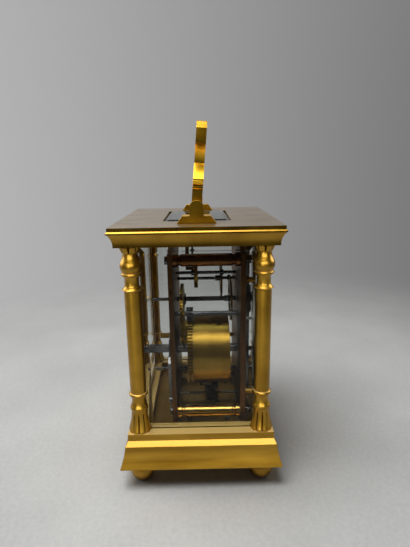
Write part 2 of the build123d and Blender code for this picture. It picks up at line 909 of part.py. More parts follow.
with BuildPart() as door_glass:
    door_pane_plane = Plane(
        origin=(0, door_inner_y + fit, door_middle_z), x_dir=(-1, 0, 0), z_dir=(0, 1, 0)
    )
    with BuildSketch(door_pane_plane):
        Rectangle(2 * (door_light_x + door_rebate), 2 * (door_light_z + door_rebate))
    extrude(amount=glass_edge)
    with BuildSketch(door_pane_plane.offset(glass_edge)):
        Rectangle(2 * (door_light_x - fit), 2 * (door_light_z - fit))
    with BuildSketch(door_pane_plane.offset(glass_thickness)):
        Rectangle(
            2 * (door_light_x - glass_bevel), 2 * (door_light_z - glass_bevel)
        )
    loft(ruled=True)
pieces["door_glass"] = door_glass

with BuildPart() as door_knob:
    door_face_y = door_inner_y + door_thickness
    turned_along_y(
        (knob_x, door_middle_z),
        [
            (knob_radius, door_face_y + knob_reach, door_face_y + knob_neck),
            (knob_radius - knob_round, door_face_y + knob_neck, door_face_y),
            (screw_radius - fit, door_face_y, door_y),
        ],
    )
    knob_rims = door_knob.edges().filter_by(GeomType.CIRCLE).sort_by(Axis.Y)
    fillet(knob_rims[-1], knob_round)
pieces["door_knob"] = door_knob

with BuildPart() as door_pins:
    turned_along_z(
        hinge_x, door_y,
        [
            (door_pin_radius, column_z - door_pin_grip + fit, door_bottom + door_pin_grip - fit),
            (door_pin_radius, door_top - door_pin_grip + fit, cornice_z + door_pin_grip - fit),
        ],
    )
pieces["door_pins"] = door_pins


# Handle, its two brackets and their screws

for name, side in (("handle_bracket_left", -1), ("handle_bracket_right", 1)):
    inner_x = side * (bracket_x - bracket_foot_x)
    lug_x = side * (bracket_x - lug_thickness)
    outward = Plane(origin=(inner_x, 0, 0), x_dir=(0, side, 0), z_dir=(side, 0, 0))
    lug_plane = Plane(origin=(lug_x, 0, 0), x_dir=(0, side, 0), z_dir=(side, 0, 0))
    with BuildPart() as handle_bracket:
        with BuildSketch(outward):
            with BuildLine():
                Polyline(
                    (-bracket_length / 2, top_z),
                    (bracket_length / 2, top_z),
                    (bracket_shoulder / 2, top_z + bracket_foot_height),
                    (-bracket_shoulder / 2, top_z + bracket_foot_height),
                    close=True,
                )
            make_face()
        extrude(amount=bracket_foot_x)
        with BuildSketch(lug_plane):
            with BuildLine():
                lug_half = lug_width / 2
                Line((-lug_half, pivot_z), (-lug_half, top_z))
                Line((-lug_half, top_z), (lug_half, top_z))
                Line((lug_half, top_z), (lug_half, pivot_z))
                ThreePointArc(
                    (lug_half, pivot_z), (0, pivot_z + lug_half), (-lug_half, pivot_z)
                )
            make_face()
        extrude(amount=lug_thickness)
        pin_depth = lug_thickness - lug_skin
        with Locations((lug_x + side * pin_depth / 2, 0, pivot_z)):
            Cylinder(
                handle_pin_radius + running, pin_depth, rotation=(0, 90, 0), mode=Mode.SUBTRACT
            )
        for end in (-1, 1):
            turned_along_z(
                side * (bracket_x - bracket_foot_x / 2), end * bracket_screw_spread / 2,
                [(screw_radius + fit, top_z, top_z + bracket_foot_height - 4 * fit)],
                mode=Mode.SUBTRACT,
            )
    pieces[name] = handle_bracket

with BuildPart() as bracket_screws:
    for side in (-1, 1):
        for end in (-1, 1):
            turned_along_z(
                side * (bracket_x - bracket_foot_x / 2), end * bracket_screw_spread / 2,
                [
                    (screw_head_radius, cornice_z + cavity_height - screw_head_height,
                     cornice_z + cavity_height),
                    (screw_radius, cornice_z + cavity_height,
                     top_z + bracket_foot_height - 8 * fit),
                ],
            )
pieces["bracket_screws"] = bracket_screws

arm_outer = bracket_x - lug_thickness - swing
arm_inner = arm_outer - handle_bar
leaning = Plane(
    origin=(0, 0, pivot_z),
    x_dir=(1, 0, 0),
    z_dir=(0, -cos(radians(handle_lean)), -sin(radians(handle_lean))),
)
with BuildPart() as handle:
    with BuildSketch(leaning):
        with BuildLine():
            from_arm = [(arm_outer + out, up) for out, up in handle_arm]
            from_slope = [(arm_outer + out, up) for out, up in handle_slope]
            from_ridge = [(arm_outer + out, up) for out, up in handle_ridge]
            from_shoulder = [(arm_outer + out, up) for out, up in handle_shoulder]
            flare = (arm_outer + handle_flare[0], handle_flare[1])
            Polyline(*from_arm)
            Polyline(*from_slope)
            ThreePointArc(from_slope[-1], flare, from_ridge[0])
            Polyline(*from_ridge, *from_shoulder)
            TangentArc((0, handle_rise), from_shoulder[-1], tangent=(1, 0))
            from_inside = [(arm_outer + out, up) for out, up in handle_inside]
            TangentArc((0, handle_rise - handle_bar), from_inside[0], tangent=(1, 0))
            FilletPolyline(
                *from_inside,
                (arm_inner, handle_inside_foot),
                (arm_inner, 0),
                radius=handle_inside_round,
            )
            Line((arm_inner, 0), (arm_outer, 0))
            mirror(about=Plane.YZ)
        make_face()
    extrude(amount=handle_depth / 2, both=True)
    for side in (-1, 1):
        with Locations((side * (arm_outer + arm_inner) / 2, 0, pivot_z)):
            Cylinder(handle_depth / 2, handle_bar, rotation=(0, 90, 0))
        pin_end = bracket_x - lug_skin - 2 * fit
        with Locations((side * (arm_inner + pin_end) / 2, 0, pivot_z)):
            Cylinder(handle_pin_radius, pin_end - arm_inner, rotation=(0, 90, 0))
pieces["handle"] = handle


# Movement frame: two plates, four pillars and their screws

pillar_places = [(x, z) for x in (-pillar_x, pillar_x) for z in (pillar_low_z, pillar_high_z)]
plain_pivots = [intermediate_at, third_at, contrate_at]

with BuildPart() as back_plate:
    box_between(
        (-plate_x, back_plate_y, floor_z), (plate_x, back_outer_y, plates_top)
    )
    bores = [(place, pivot_radius + running) for place in plain_pivots]
    bores += [(place, screw_radius + fit) for place in pillar_places]
    bores += [
        (centre_at, centre_radius + running),
        (alarm_at, centre_radius + running),
        (barrel_at, barrel_arbor_radius + running),
        (alarm_barrel_at, arbor_radius + running),
        (hammer_at, hammer_rod_radius + running),
    ]
    for place, radius in bores:
        turned_along_y(place, [(radius, back_outer_y, back_plate_y)], mode=Mode.SUBTRACT)
    click_pivot_end = back_outer_y + ratchet_lift + ratchet_thickness + ratchet_lift
    turned_along_y(click_at, [(click_pin_radius, click_pivot_end, back_outer_y)])
pieces["back_plate"] = back_plate

with BuildPart() as front_plate:
    box_between(
        (-plate_x, front_outer_y, floor_z), (plate_x, front_plate_y, plates_top)
    )
    bores = [(place, pivot_radius + running) for place in plain_pivots]
    bores += [(place, screw_radius + fit) for place in pillar_places]
    bores += [(place, pivot_radius + running) for place in (barrel_at, alarm_barrel_at)]
    bores += [
        (centre_at, centre_radius + running),
        (alarm_at, centre_radius + running),
        (hammer_at, hammer_rod_radius + running),
    ]
    for place, radius in bores:
        turned_along_y(place, [(radius, front_plate_y, front_outer_y)], mode=Mode.SUBTRACT)
    turned_along_y(minute_at, [(pivot_radius, front_outer_y, dial_back_y + end_shake)])
pieces["front_plate"] = front_plate

with BuildPart() as pillar:
    length = back_plate_y - front_plate_y
    with BuildSketch(Plane.XY):
        with BuildLine():
            waist_from = pillar_land + pillar_slope
            waist_to = waist_from + pillar_waist
            body_from = waist_to + pillar_slope
            Polyline(
                (0, 0),
                (pillar_end_radius, 0),
                (pillar_end_radius, pillar_land),
                (pillar_waist_radius, waist_from),
                (pillar_waist_radius, waist_to),
                (pillar_radius, body_from),
                (pillar_radius, length - body_from),
                (pillar_waist_radius, length - waist_to),
                (pillar_waist_radius, length - waist_from),
                (pillar_end_radius, length - pillar_land),
                (pillar_end_radius, length),
                (0, length),
                close=True,
            )
        make_face()
    revolve(axis=Axis.Y)
    turned_along_y(
        (0, 0),
        [(screw_radius + fit, screw_grip, 0), (screw_radius + fit, length, length - screw_grip)],
        mode=Mode.SUBTRACT,
    )

with BuildPart() as pillars:
    for x, z in pillar_places:
        with Locations((x, front_plate_y, z)):
            add(pillar.part)
    for x, y in base_screw_places:
        turned_along_z(
            x, y, [(screw_radius + fit, pillar_low_z - pillar_radius, pillar_low_z)],
            mode=Mode.SUBTRACT,
        )
pieces["pillars"] = pillars

with BuildPart() as movement_screws:
    for place in pillar_places:
        turned_along_y(
            place,
            [
                (screw_head_radius, back_outer_y + screw_head_height, back_outer_y),
                (screw_radius, back_outer_y, back_plate_y - screw_grip + 2 * fit),
            ],
        )
        turned_along_y(
            place,
            [
                (screw_radius, front_plate_y + screw_grip - 2 * fit, front_outer_y),
                (screw_head_radius, front_outer_y, front_outer_y - screw_head_height),
            ],
        )
    for x, y in base_screw_places:
        turned_along_z(
            x, y,
            [
                (screw_head_radius, floor_under_z - screw_head_height, floor_under_z),
                (screw_radius, floor_under_z, pillar_low_z - 2 * fit),
            ],
        )
pieces["movement_screws"] = movement_screws


# Barrel with its great wheel, cover, arbor and mainspring

with BuildPart() as barrel:
    with BuildSketch(facing_front(great_wheel_y[1])):
        toothed_outline(great_teeth, great_module, 0, barrel_at)
        with Locations(barrel_at):
            Circle(barrel_arbor_radius + running, mode=Mode.SUBTRACT)
    extrude(amount=great_wheel_y[1] - great_wheel_y[0])
    with BuildSketch(facing_front(great_wheel_y[0])):
        with Locations(barrel_at):
            Circle(drum_radius)
            Circle(drum_radius - drum_wall, mode=Mode.SUBTRACT)
    extrude(amount=great_wheel_y[0] - drum_front_y)
    turned_along_y(
        barrel_at,
        [(drum_radius - drum_wall / 2, drum_front_y + drum_cover, drum_front_y)],
        mode=Mode.SUBTRACT,
    )
pieces["barrel"] = barrel

with BuildPart() as barrel_cover:
    turned_along_y(
        barrel_at,
        [(drum_radius - drum_wall / 2 - fit, drum_front_y + drum_cover, drum_front_y)],
    )
    turned_along_y(
        barrel_at,
        [(barrel_arbor_radius + running, drum_front_y + drum_cover, drum_front_y)],
        mode=Mode.SUBTRACT,
    )
pieces["barrel_cover"] = barrel_cover

core_back_y = great_wheel_y[0] - end_shake
core_front_y = drum_front_y + drum_cover + end_shake
ratchet_back_y = back_outer_y + ratchet_lift + ratchet_thickness
with BuildPart() as barrel_arbor:
    turned_along_y(
        barrel_at,
        [
            (barrel_arbor_radius, ratchet_back_y - ratchet_thickness, core_back_y),
            (barrel_core_radius, core_back_y, core_front_y),
            (barrel_arbor_radius, core_front_y, front_plate_y + end_shake),
            (pivot_radius, front_plate_y + end_shake, front_outer_y),
        ],
    )
    with BuildSketch(facing_front(winding_tip_y)):
        with Locations(barrel_at):
            Rectangle(winding_square, winding_square)
    extrude(amount=winding_tip_y - ratchet_back_y + ratchet_thickness)
pieces["barrel_arbor"] = barrel_arbor

spring_inner = barrel_core_radius + spring_strip
spring_pitch = (drum_radius - drum_wall - spring_strip - spring_inner) / spring_turns
with BuildPart() as mainspring:
    with BuildSketch(facing_front(core_back_y - spring_side_gap)):
        spiral_strip(spring_inner, spring_pitch, spring_turns, spring_strip, barrel_at)
    extrude(amount=core_back_y - core_front_y - 2 * spring_side_gap)
pieces["mainspring"] = mainspring
print(
    "mainspring least gap",
    round(least_spiral_gap(spring_inner, spring_pitch, spring_turns, spring_strip), 3),
)


# Ratchet work behind the back plate

with BuildPart() as ratchet_wheel:
    with BuildSketch(facing_front(ratchet_back_y)):
        with BuildLine():
            saw = []
            for tooth in range(ratchet_teeth):
                turn = 360 / ratchet_teeth
                saw.append(polar(ratchet_radius - ratchet_tooth, tooth * turn, barrel_at))
                saw.append(polar(ratchet_radius, (tooth + ratchet_rake) * turn, barrel_at))
            Polyline(*saw, close=True)
        make_face()
        with Locations(barrel_at):
            Rectangle(winding_square + 2 * fit, winding_square + 2 * fit, mode=Mode.SUBTRACT)
    extrude(amount=ratchet_thickness)
pieces["ratchet_wheel"] = ratchet_wheel

click_line = bearing(barrel_at, click_at)
click_tip = polar(ratchet_radius + click_clearance, click_line - click_nose[0], barrel_at)
click_heel = polar(
    ratchet_radius + click_clearance + click_arm, click_line - click_nose[1], barrel_at
)
with BuildPart() as click:
    with BuildSketch(facing_front(ratchet_back_y)):
        with BuildLine():
            aim = bearing(click_at, click_tip)
            Polyline(
                polar(click_hub_radius, aim - 90, click_at),
                click_tip,
                click_heel,
                polar(click_hub_radius, aim + 90, click_at),
                close=True,
            )
        make_face()
        with Locations(click_at):
            Circle(click_hub_radius)
            Circle(click_pin_radius + running, mode=Mode.SUBTRACT)
    extrude(amount=ratchet_thickness)
pieces["click"] = click

with BuildPart() as click_spring:
    with BuildSketch(facing_front(ratchet_back_y)):
        spring_x = click_at[0] - click_hub_radius - click_clearance - click_spring_strip
        with BuildLine():
            Polyline(
                (spring_x, click_at[1] + click_hub_radius),
                (spring_x + click_spring_strip, click_at[1] + click_hub_radius),
                (click_spring_foot[0] + click_spring_strip, click_spring_foot[1]),
                (click_spring_foot[0], click_spring_foot[1]),
                close=True,
            )
        make_face()
    extrude(amount=ratchet_thickness)
    turned_along_y(
        click_spring_foot, [(screw_head_radius, ratchet_back_y, back_outer_y)]
    )
pieces["click_spring"] = click_spring


# Going train: each wheel on its own arbor

def collet(middle, wheel_back):
    """The boss that a wheel is seated against, on the back of the wheel."""
    turned_along_y(middle, [(collet_radius, wheel_back + collet_length, wheel_back)])


def train_arbor(middle, body_radius):
    """Plain arbor between the plates with a pivot in each of them."""
    turned_along_y(
        middle,
        [
            (pivot_radius, back_outer_y, back_plate_y - end_shake),
            (body_radius, back_plate_y - end_shake, front_plate_y + end_shake),
            (pivot_radius, front_plate_y + end_shake, front_outer_y),
        ],
    )


intermediate_phase = meshing_phase(
    0, great_teeth, intermediate_leaves, bearing(barrel_at, intermediate_at)
)
with BuildPart() as intermediate_arbor:
    train_arbor(intermediate_at, arbor_radius)
    pinion(intermediate_at, intermediate_leaves, great_module, intermediate_phase, great_wheel_y)
pieces["intermediate_arbor"] = intermediate_arbor

with BuildPart() as intermediate_wheel:
    with BuildSketch(facing_front(intermediate_wheel_y[1])):
        crossed_wheel(
            intermediate_teeth, intermediate_module, 0, intermediate_at, arbor_radius + fit
        )
    extrude(amount=intermediate_wheel_y[1] - intermediate_wheel_y[0])
pieces["intermediate_wheel"] = intermediate_wheel

centre_phase = meshing_phase(
    0, intermediate_teeth, centre_leaves, bearing(intermediate_at, centre_at)
)
with BuildPart() as centre_arbor:
    turned_along_y(
        centre_at,
        [
            (centre_radius, centre_tail_y, back_plate_y - end_shake),
            (arbor_radius, back_plate_y - end_shake, front_plate_y + end_shake),
            (centre_radius, front_plate_y + end_shake, front_outer_y),
            (cannon_bore, front_outer_y, minute_hand_y - hand_thickness / 2),
        ],
    )
    pinion(centre_at, centre_leaves, intermediate_module, centre_phase, intermediate_wheel_y)
    collet(centre_at, centre_wheel_y[1])
pieces["centre_arbor"] = centre_arbor

with BuildPart() as centre_wheel:
    with BuildSketch(facing_front(centre_wheel_y[1])):
        crossed_wheel(centre_teeth, centre_module, 0, centre_at, arbor_radius + fit)
    extrude(amount=centre_wheel_y[1] - centre_wheel_y[0])
pieces["centre_wheel"] = centre_wheel

third_phase = meshing_phase(0, centre_teeth, third_leaves, bearing(centre_at, third_at))
with BuildPart() as third_arbor:
    train_arbor(third_at, slim_arbor_radius)
    pinion(third_at, third_leaves, centre_module, third_phase, centre_wheel_y)
    collet(third_at, third_wheel_y[1])
pieces["third_arbor"] = third_arbor

with BuildPart() as third_wheel:
    with BuildSketch(facing_front(third_wheel_y[1])):
        crossed_wheel(third_teeth, third_module, 0, third_at, slim_arbor_radius + fit)
    extrude(amount=third_wheel_y[1] - third_wheel_y[0])
pieces["third_wheel"] = third_wheel

contrate_radius = contrate_module * contrate_teeth / 2
crown_pitch_y = escape_y - contrate_module * escape_leaves / 2
crown_tip_y = crown_pitch_y + addendum * contrate_module
crown_root_y = crown_pitch_y - dedendum * contrate_module
contrate_phase = meshing_phase(0, third_teeth, contrate_leaves, bearing(third_at, contrate_at))
with BuildPart() as contrate_arbor:
    train_arbor(contrate_at, slim_arbor_radius)
    pinion(contrate_at, contrate_leaves, third_module, contrate_phase, third_wheel_y)
    collet(contrate_at, crown_root_y - crown_rim + crown_disc)
pieces["contrate_arbor"] = contrate_arbor

# The contrate wheel's teeth stand up from its rim towards the escape pinion
crown_half = crown_face / 2
contrate_pitch = pi * contrate_module
with BuildPart() as crown_tooth:
    with BuildSketch(
        Plane(origin=(contrate_radius - crown_half, 0, 0), x_dir=(0, 1, 0), z_dir=(1, 0, 0))
    ):
        with BuildLine():
            root_half = root_share * contrate_pitch
            tip_half = tip_share * contrate_pitch
            rise = crown_tip_y - crown_root_y
            Polyline(
                (-root_half, -fit), (root_half, -fit), (root_half, 0),
                (tip_half, rise), (-tip_half, rise), (-root_half, 0), close=True,
            )
        make_face()
    extrude(amount=crown_face)

with BuildPart() as contrate_wheel:
    with BuildSketch(Plane.XY.offset(-crown_rim)):
        Circle(contrate_radius + crown_half)
        Circle(contrate_radius - crown_half - wheel_rim, mode=Mode.SUBTRACT)
        for arm in range(spokes):
            Rectangle(
                contrate_radius - crown_half - wheel_rim / 2, spoke_width,
                rotation=crown_turn + arm * 360 / spokes, align=(Align.MIN, Align.CENTER),
            )
        Circle(wheel_hub)
        Circle(slim_arbor_radius + fit, mode=Mode.SUBTRACT)
    extrude(amount=crown_disc)
    with BuildSketch(Plane.XY.offset(-crown_rim)):
        Circle(contrate_radius + crown_half)
        Circle(contrate_radius - crown_half, mode=Mode.SUBTRACT)
    extrude(amount=crown_rim)
    with PolarLocations(0, contrate_teeth, start_angle=90):
        add(crown_tooth.part)
contrate_wheel.part = contrate_wheel.part.moved(
    Location((contrate_at[0], crown_root_y, contrate_at[1]), (-90, 0, 0))
)
pieces["contrate_wheel"] = contrate_wheel


# Motion work under the dial, and the hands

with BuildPart() as cannon_pinion:
    with BuildSketch(facing_front(motion_y)):
        toothed_outline(cannon_leaves, motion_module, 0, centre_at)
    extrude(amount=motion_wheel_thickness)
    turned_along_y(centre_at, [(cannon_pipe_radius, motion_y, minute_hand_y)])
    turned_along_y(
        centre_at, [(cannon_bore + fit, motion_y, minute_hand_y)], mode=Mode.SUBTRACT
    )
pieces["cannon_pinion"] = cannon_pinion

minute_front_y = motion_y - motion_wheel_thickness
hour_wheel_back_y = minute_front_y - end_shake
minute_pinion_end_y = hour_wheel_back_y - motion_wheel_thickness
with BuildPart() as minute_wheel:
    with BuildSketch(facing_front(motion_y)):
        toothed_outline(
            minute_teeth, motion_module,
            meshing_phase(0, cannon_leaves, minute_teeth, minute_bearing), minute_at,
        )
    extrude(amount=motion_wheel_thickness)
    with BuildSketch(facing_front(minute_front_y)):
        toothed_outline(minute_leaves, hour_module, 0, minute_at)
    extrude(amount=minute_front_y - minute_pinion_end_y)
    turned_along_y(
        minute_at, [(pivot_radius + running, motion_y, minute_pinion_end_y)],
        mode=Mode.SUBTRACT,
    )
pieces["minute_wheel"] = minute_wheel

with BuildPart() as hour_wheel:
    with BuildSketch(facing_front(hour_wheel_back_y)):
        toothed_outline(
            hour_teeth, hour_module,
            meshing_phase(0, minute_leaves, hour_teeth, bearing(minute_at, centre_at)), centre_at,
        )
    extrude(amount=motion_wheel_thickness)
    turned_along_y(centre_at, [(hour_pipe_radius, hour_wheel_back_y, hour_hand_y)])
    turned_along_y(
        centre_at,
        [(cannon_pipe_radius + running, hour_wheel_back_y, hour_hand_y)],
        mode=Mode.SUBTRACT,
    )
pieces["hour_wheel"] = hour_wheel


def hand(middle, front_y, angle, length, boss, bore):
    """A flat hand with a round boss, a slim stem and a leaf-shaped end."""
    stations = (
        (boss - hand_stem, hand_stem),
        (length * hand_leaf_from, hand_stem),
        (length * hand_leaf_widest, hand_leaf),
    )
    right = [
        polar(hypot(along, half), angle - degrees(atan2(half, along)), middle)
        for along, half in stations
    ]
    left = [
        polar(hypot(along, half), angle + degrees(atan2(half, along)), middle)
        for along, half in reversed(stations)
    ]
    with BuildSketch(facing_front(front_y + hand_thickness)) as section:
        with BuildLine():
            Polyline(*right, polar(length, angle, middle), *left, close=True)
        make_face()
        with Locations(middle):
            Circle(boss)
            Circle(bore, mode=Mode.SUBTRACT)
    extrude(section.sketch, amount=hand_thickness)


with BuildPart() as hour_hand:
    hand(
        centre_at, hour_hand_y, hour_hand_angle, hour_hand_length, hour_hand_boss,
        hour_pipe_radius + fit,
    )
pieces["hour_hand"] = hour_hand

with BuildPart() as minute_hand:
    hand(
        centre_at, minute_hand_y, minute_hand_angle, minute_hand_length, minute_hand_boss,
        cannon_pipe_radius + fit,
    )
pieces["minute_hand"] = minute_hand

with BuildPart() as dial:
    turned_along_y(centre_at, [(dial_radius, dial_back_y, mask_y)])
    for foot_angle in dial_foot_angles:
        foot_at = polar(dial_foot_circle, foot_angle, centre_at)
        turned_along_y(foot_at, [(dial_foot_radius, front_outer_y, dial_back_y)])
    turned_along_y(
        centre_at, [(hour_pipe_radius + end_shake, dial_back_y, mask_y)], mode=Mode.SUBTRACT
    )
pieces["dial"] = dial

with BuildPart() as alarm_dial:
    turned_along_y(alarm_at, [(alarm_dial_radius, dial_back_y, mask_y)])
    for foot_angle in alarm_dial_foot_angles:
        foot_at = polar(alarm_dial_foot_circle, foot_angle, alarm_at)
        turned_along_y(foot_at, [(dial_foot_radius, front_outer_y, dial_back_y)])
    turned_along_y(
        alarm_at, [(centre_radius + end_shake, dial_back_y, mask_y)], mode=Mode.SUBTRACT
    )
pieces["alarm_dial"] = alarm_dial

with BuildPart() as dial_mask:
    box_between(
        (-mask_x, mask_y - mask_thickness, column_z + mask_gap),
        (mask_x, mask_y, cornice_z - mask_gap),
    )
    turned_along_y(
        centre_at, [(dial_radius - dial_rim, mask_y, mask_y - mask_thickness)],
        mode=Mode.SUBTRACT,
    )
    turned_along_y(
        alarm_at, [(alarm_dial_radius - dial_rim, mask_y, mask_y - mask_thickness)],
        mode=Mode.SUBTRACT,
    )
    for x in (-mask_post_x, mask_post_x):
        for z in mask_post_z:
            turned_along_y((x, z), [(mask_post_radius, front_outer_y, mask_y)])
pieces["dial_mask"] = dial_mask


# Alarm: setting arbor and hand, spring barrel, hammer and bell

with BuildPart() as alarm_arbor:
    turned_along_y(
        alarm_at,
        [
            (centre_radius, centre_tail_y, back_plate_y - end_shake),
            (arbor_radius, back_plate_y - end_shake, front_plate_y + end_shake),
            (centre_radius, front_plate_y + end_shake, hour_hand_y - hand_thickness / 2),
        ],
    )
pieces["alarm_arbor"] = alarm_arbor

with BuildPart() as alarm_hand:
    hand(
        alarm_at, hour_hand_y, alarm_hand_angle, alarm_hand_length, alarm_hand_boss,
        centre_radius + fit,
    )
pieces["alarm_hand"] = alarm_hand

with BuildPart() as alarm_barrel:
    turned_along_y(
        alarm_barrel_at,
        [
            (arbor_radius, back_outer_y + ratchet_lift, alarm_barrel_y[1]),
            (alarm_barrel_radius, alarm_barrel_y[1], alarm_barrel_y[0]),
            (arbor_radius, alarm_barrel_y[0], front_plate_y + end_shake),
            (pivot_radius, front_plate_y + end_shake, front_outer_y),
        ],
    )
    with BuildSketch(facing_front(alarm_square_tip_y)):
        with Locations(alarm_barrel_at):
            Rectangle(alarm_square, alarm_square)
    extrude(amount=alarm_square_tip_y - back_outer_y - ratchet_lift)
pieces["alarm_barrel"] = alarm_barrel

with BuildPart() as alarm_bell:
    turned_along_y(
        bell_at,
        [
            (bell_radius, bell_y[1], bell_y[0]),
            (bell_stud_radius, bell_y[0], front_plate_y),
        ],
    )
    turned_along_y(
        bell_at, [(bell_radius - bell_wall, bell_y[1], bell_y[0] + bell_crown)],
        mode=Mode.SUBTRACT,
    )
pieces["alarm_bell"] = alarm_bell

with BuildPart() as alarm_hammer:
    turned_along_y(
        hammer_at, [(hammer_rod_radius, back_outer_y, front_outer_y)]
    )
    head_x = bell_at[0] - bell_radius - hammer_gap - hammer_head_radius
    head_z = bell_at[1]
    with BuildSketch(facing_front(hammer_y + hammer_rod_radius)):
        with BuildLine():
            Polyline(
                (hammer_at[0] - hammer_rod_radius, hammer_at[1]),
                (hammer_at[0] + hammer_rod_radius, hammer_at[1]),
                (head_x + hammer_rod_radius, head_z),
                (head_x - hammer_rod_radius, head_z),
                close=True,
            )
        make_face()
    extrude(amount=2 * hammer_rod_radius)
    turned_along_y(
        (head_x, head_z),
        [(hammer_head_radius, hammer_y + hammer_head_length / 2, hammer_y - hammer_head_length / 2)],
    )
pieces["alarm_hammer"] = alarm_hammer


# Platform escapement on top of the plates

escape_wheel_z = platform_z + escape_plane
lever_y = escape_y - lever_reach
balance_y = escape_y - balance_reach
bridge_z = platform_z + bridge_plane
cock_z = platform_z + cock_plane
pinion_z = contrate_at[1] + contrate_radius
potence_z = pinion_z - crown_face - 2 * potence_foot

with BuildPart() as platform:
    box_between(
        (-platform_x, front_outer_y, plates_top), (platform_x, back_outer_y, platform_z)
    )
    box_between(
        (-potence_width / 2, escape_y + potence_width / 2, potence_z - potence_foot),
        (potence_width / 2, escape_y + potence_width, plates_top),
    )
    box_between(
        (-potence_width / 2, escape_y - potence_width / 2, potence_z - potence_foot),
        (potence_width / 2, escape_y + potence_width / 2, potence_z),
    )
    escape_tip = contrate_module * (escape_leaves / 2 + addendum)
    turned_along_z(
        0, escape_y,
        [
            (escape_pivot_radius + running, potence_z - potence_foot, potence_z),
            (escape_tip + 2 * end_shake, plates_top, platform_z),
        ],
        mode=Mode.SUBTRACT,
    )
    for y in (lever_y, balance_y):
        turned_along_z(
            0, y, [(escape_pivot_radius + running, plates_top, platform_z)], mode=Mode.SUBTRACT
        )
pieces["platform"] = platform

with BuildPart() as escape_arbor:
    turned_along_z(
        0, escape_y,
        [
            (escape_pivot_radius, potence_z - potence_foot, potence_z + end_shake / 2),
            (escape_arbor_radius, potence_z + end_shake / 2, bridge_z - end_shake / 2),
            (escape_pivot_radius, bridge_z - end_shake / 2, bridge_z + bridge_thickness),
        ],
    )
    with BuildSketch(Plane.XY.offset(pinion_z - escape_leaf_length / 2)):
        toothed_outline(
            escape_leaves, contrate_module, -90 + 180 / escape_leaves, (0, escape_y)
        )
    extrude(amount=escape_leaf_length)
pieces["escape_arbor"] = escape_arbor

with BuildPart() as escape_wheel:
    with BuildSketch(Plane.XY.offset(escape_wheel_z)):
        with BuildLine():
            escape_root = escape_radius - escape_tooth
            club = [
                polar(
                    escape_root + height * escape_tooth,
                    (tooth + share) * 360 / escape_club_teeth,
                    (0, escape_y),
                )
                for tooth in range(escape_club_teeth)
                for height, share in escape_club
            ]
            Polyline(*club, close=True)
        make_face()
        rim_inside = escape_root - escape_rim
        with Locations((0, escape_y)):
            Circle(rim_inside, mode=Mode.SUBTRACT)
            for arm in range(spokes):
                Rectangle(
                    rim_inside + escape_rim / 2, escape_spoke, rotation=arm * 360 / spokes,
                    align=(Align.MIN, Align.CENTER),
                )
            Circle(2 * escape_arbor_radius)
            Circle(escape_arbor_radius + fit, mode=Mode.SUBTRACT)
    extrude(amount=escape_wheel_thickness)
pieces["escape_wheel"] = escape_wheel

with BuildPart() as lever:
    fork_y = balance_y + impulse_circle + impulse_pin_radius + running
    pallet_circle = escape_radius + lever_gap
    with BuildSketch(Plane.XY.offset(escape_wheel_z)):
        for side in (-1, 1):
            pallet = polar(pallet_circle, -90 + side * pallet_bearing, (0, escape_y))
            heel = polar(pallet_circle + lever_width, -90 + side * pallet_bearing, (0, escape_y))
            with BuildLine():
                Polyline(
                    (0, lever_y - lever_width / 2),
                    (heel[0], heel[1]),
                    (heel[0] + side * lever_width / 2, heel[1] + lever_width / 3),
                    (pallet[0], pallet[1]),
                    (pallet[0] - side * lever_width / 3, pallet[1] - lever_width / 3),
                    (0, lever_y + lever_width / 2),
                    close=True,
                )
            make_face()
        with BuildLine():
            Polyline(
                (-lever_width / 2, lever_y),
                (lever_width / 2, lever_y),
                (lever_width, fork_y),
                (lever_width / 2, fork_y),
                (0, fork_y + lever_width),
                (-lever_width / 2, fork_y),
                (-lever_width, fork_y),
                close=True,
            )
        make_face()
        with Locations((0, lever_y)):
            Circle(lever_width)
    extrude(amount=escape_wheel_thickness)
    turned_along_z(
        0, lever_y,
        [
            (escape_pivot_radius, platform_z - platform_thickness / 2, platform_z),
            (escape_arbor_radius, platform_z + end_shake / 2, bridge_z - end_shake / 2),
            (escape_pivot_radius, platform_z, bridge_z + bridge_thickness),
        ],
    )
pieces["lever"] = lever

with BuildPart() as escape_bridge:
    foot_y = back_outer_y - end_shake
    with BuildSketch(Plane.XY.offset(bridge_z)):
        with BuildLine():
            bridge_half = bridge_width / 2
            nose_y = lever_y
            Line((bridge_half, nose_y), (bridge_half, foot_y))
            Line((bridge_half, foot_y), (-bridge_half, foot_y))
            Line((-bridge_half, foot_y), (-bridge_half, nose_y))
            ThreePointArc(
                (-bridge_half, nose_y), (0, nose_y - bridge_half), (bridge_half, nose_y)
            )
        make_face()
    extrude(amount=bridge_thickness)
    box_between(
        (-bridge_width, foot_y - bridge_foot, platform_z),
        (bridge_width, foot_y, bridge_z + bridge_thickness),
    )
    for y in (escape_y, lever_y):
        turned_along_z(
            0, y,
            [(escape_pivot_radius + running, bridge_z, bridge_z + bridge_thickness)],
            mode=Mode.SUBTRACT,
        )
pieces["escape_bridge"] = escape_bridge

with BuildPart() as balance:
    balance_z = platform_z + balance_plane
    roller_z = escape_wheel_z + escape_wheel_thickness + end_shake
    with BuildSketch(Plane.XY.offset(balance_z)):
        with Locations((0, balance_y)):
            Circle(balance_radius)
            Circle(balance_radius - balance_rim, mode=Mode.SUBTRACT)
            Rectangle(2 * balance_radius - balance_rim, balance_rim)
            Circle(balance_hub_radius)
    extrude(amount=balance_thickness)
    turned_along_z(
        0, balance_y,
        [
            (escape_pivot_radius, platform_z - platform_thickness / 2, platform_z + end_shake),
            (staff_radius, platform_z + end_shake / 2, cock_z - end_shake / 2),
            (escape_pivot_radius, cock_z - end_shake, cock_z + cock_thickness),
            (roller_radius, roller_z, roller_z + escape_wheel_thickness),
        ],
    )
    turned_along_z(
        0, balance_y + impulse_circle,
        [(impulse_pin_radius, escape_wheel_z, roller_z)],
    )
pieces["balance"] = balance

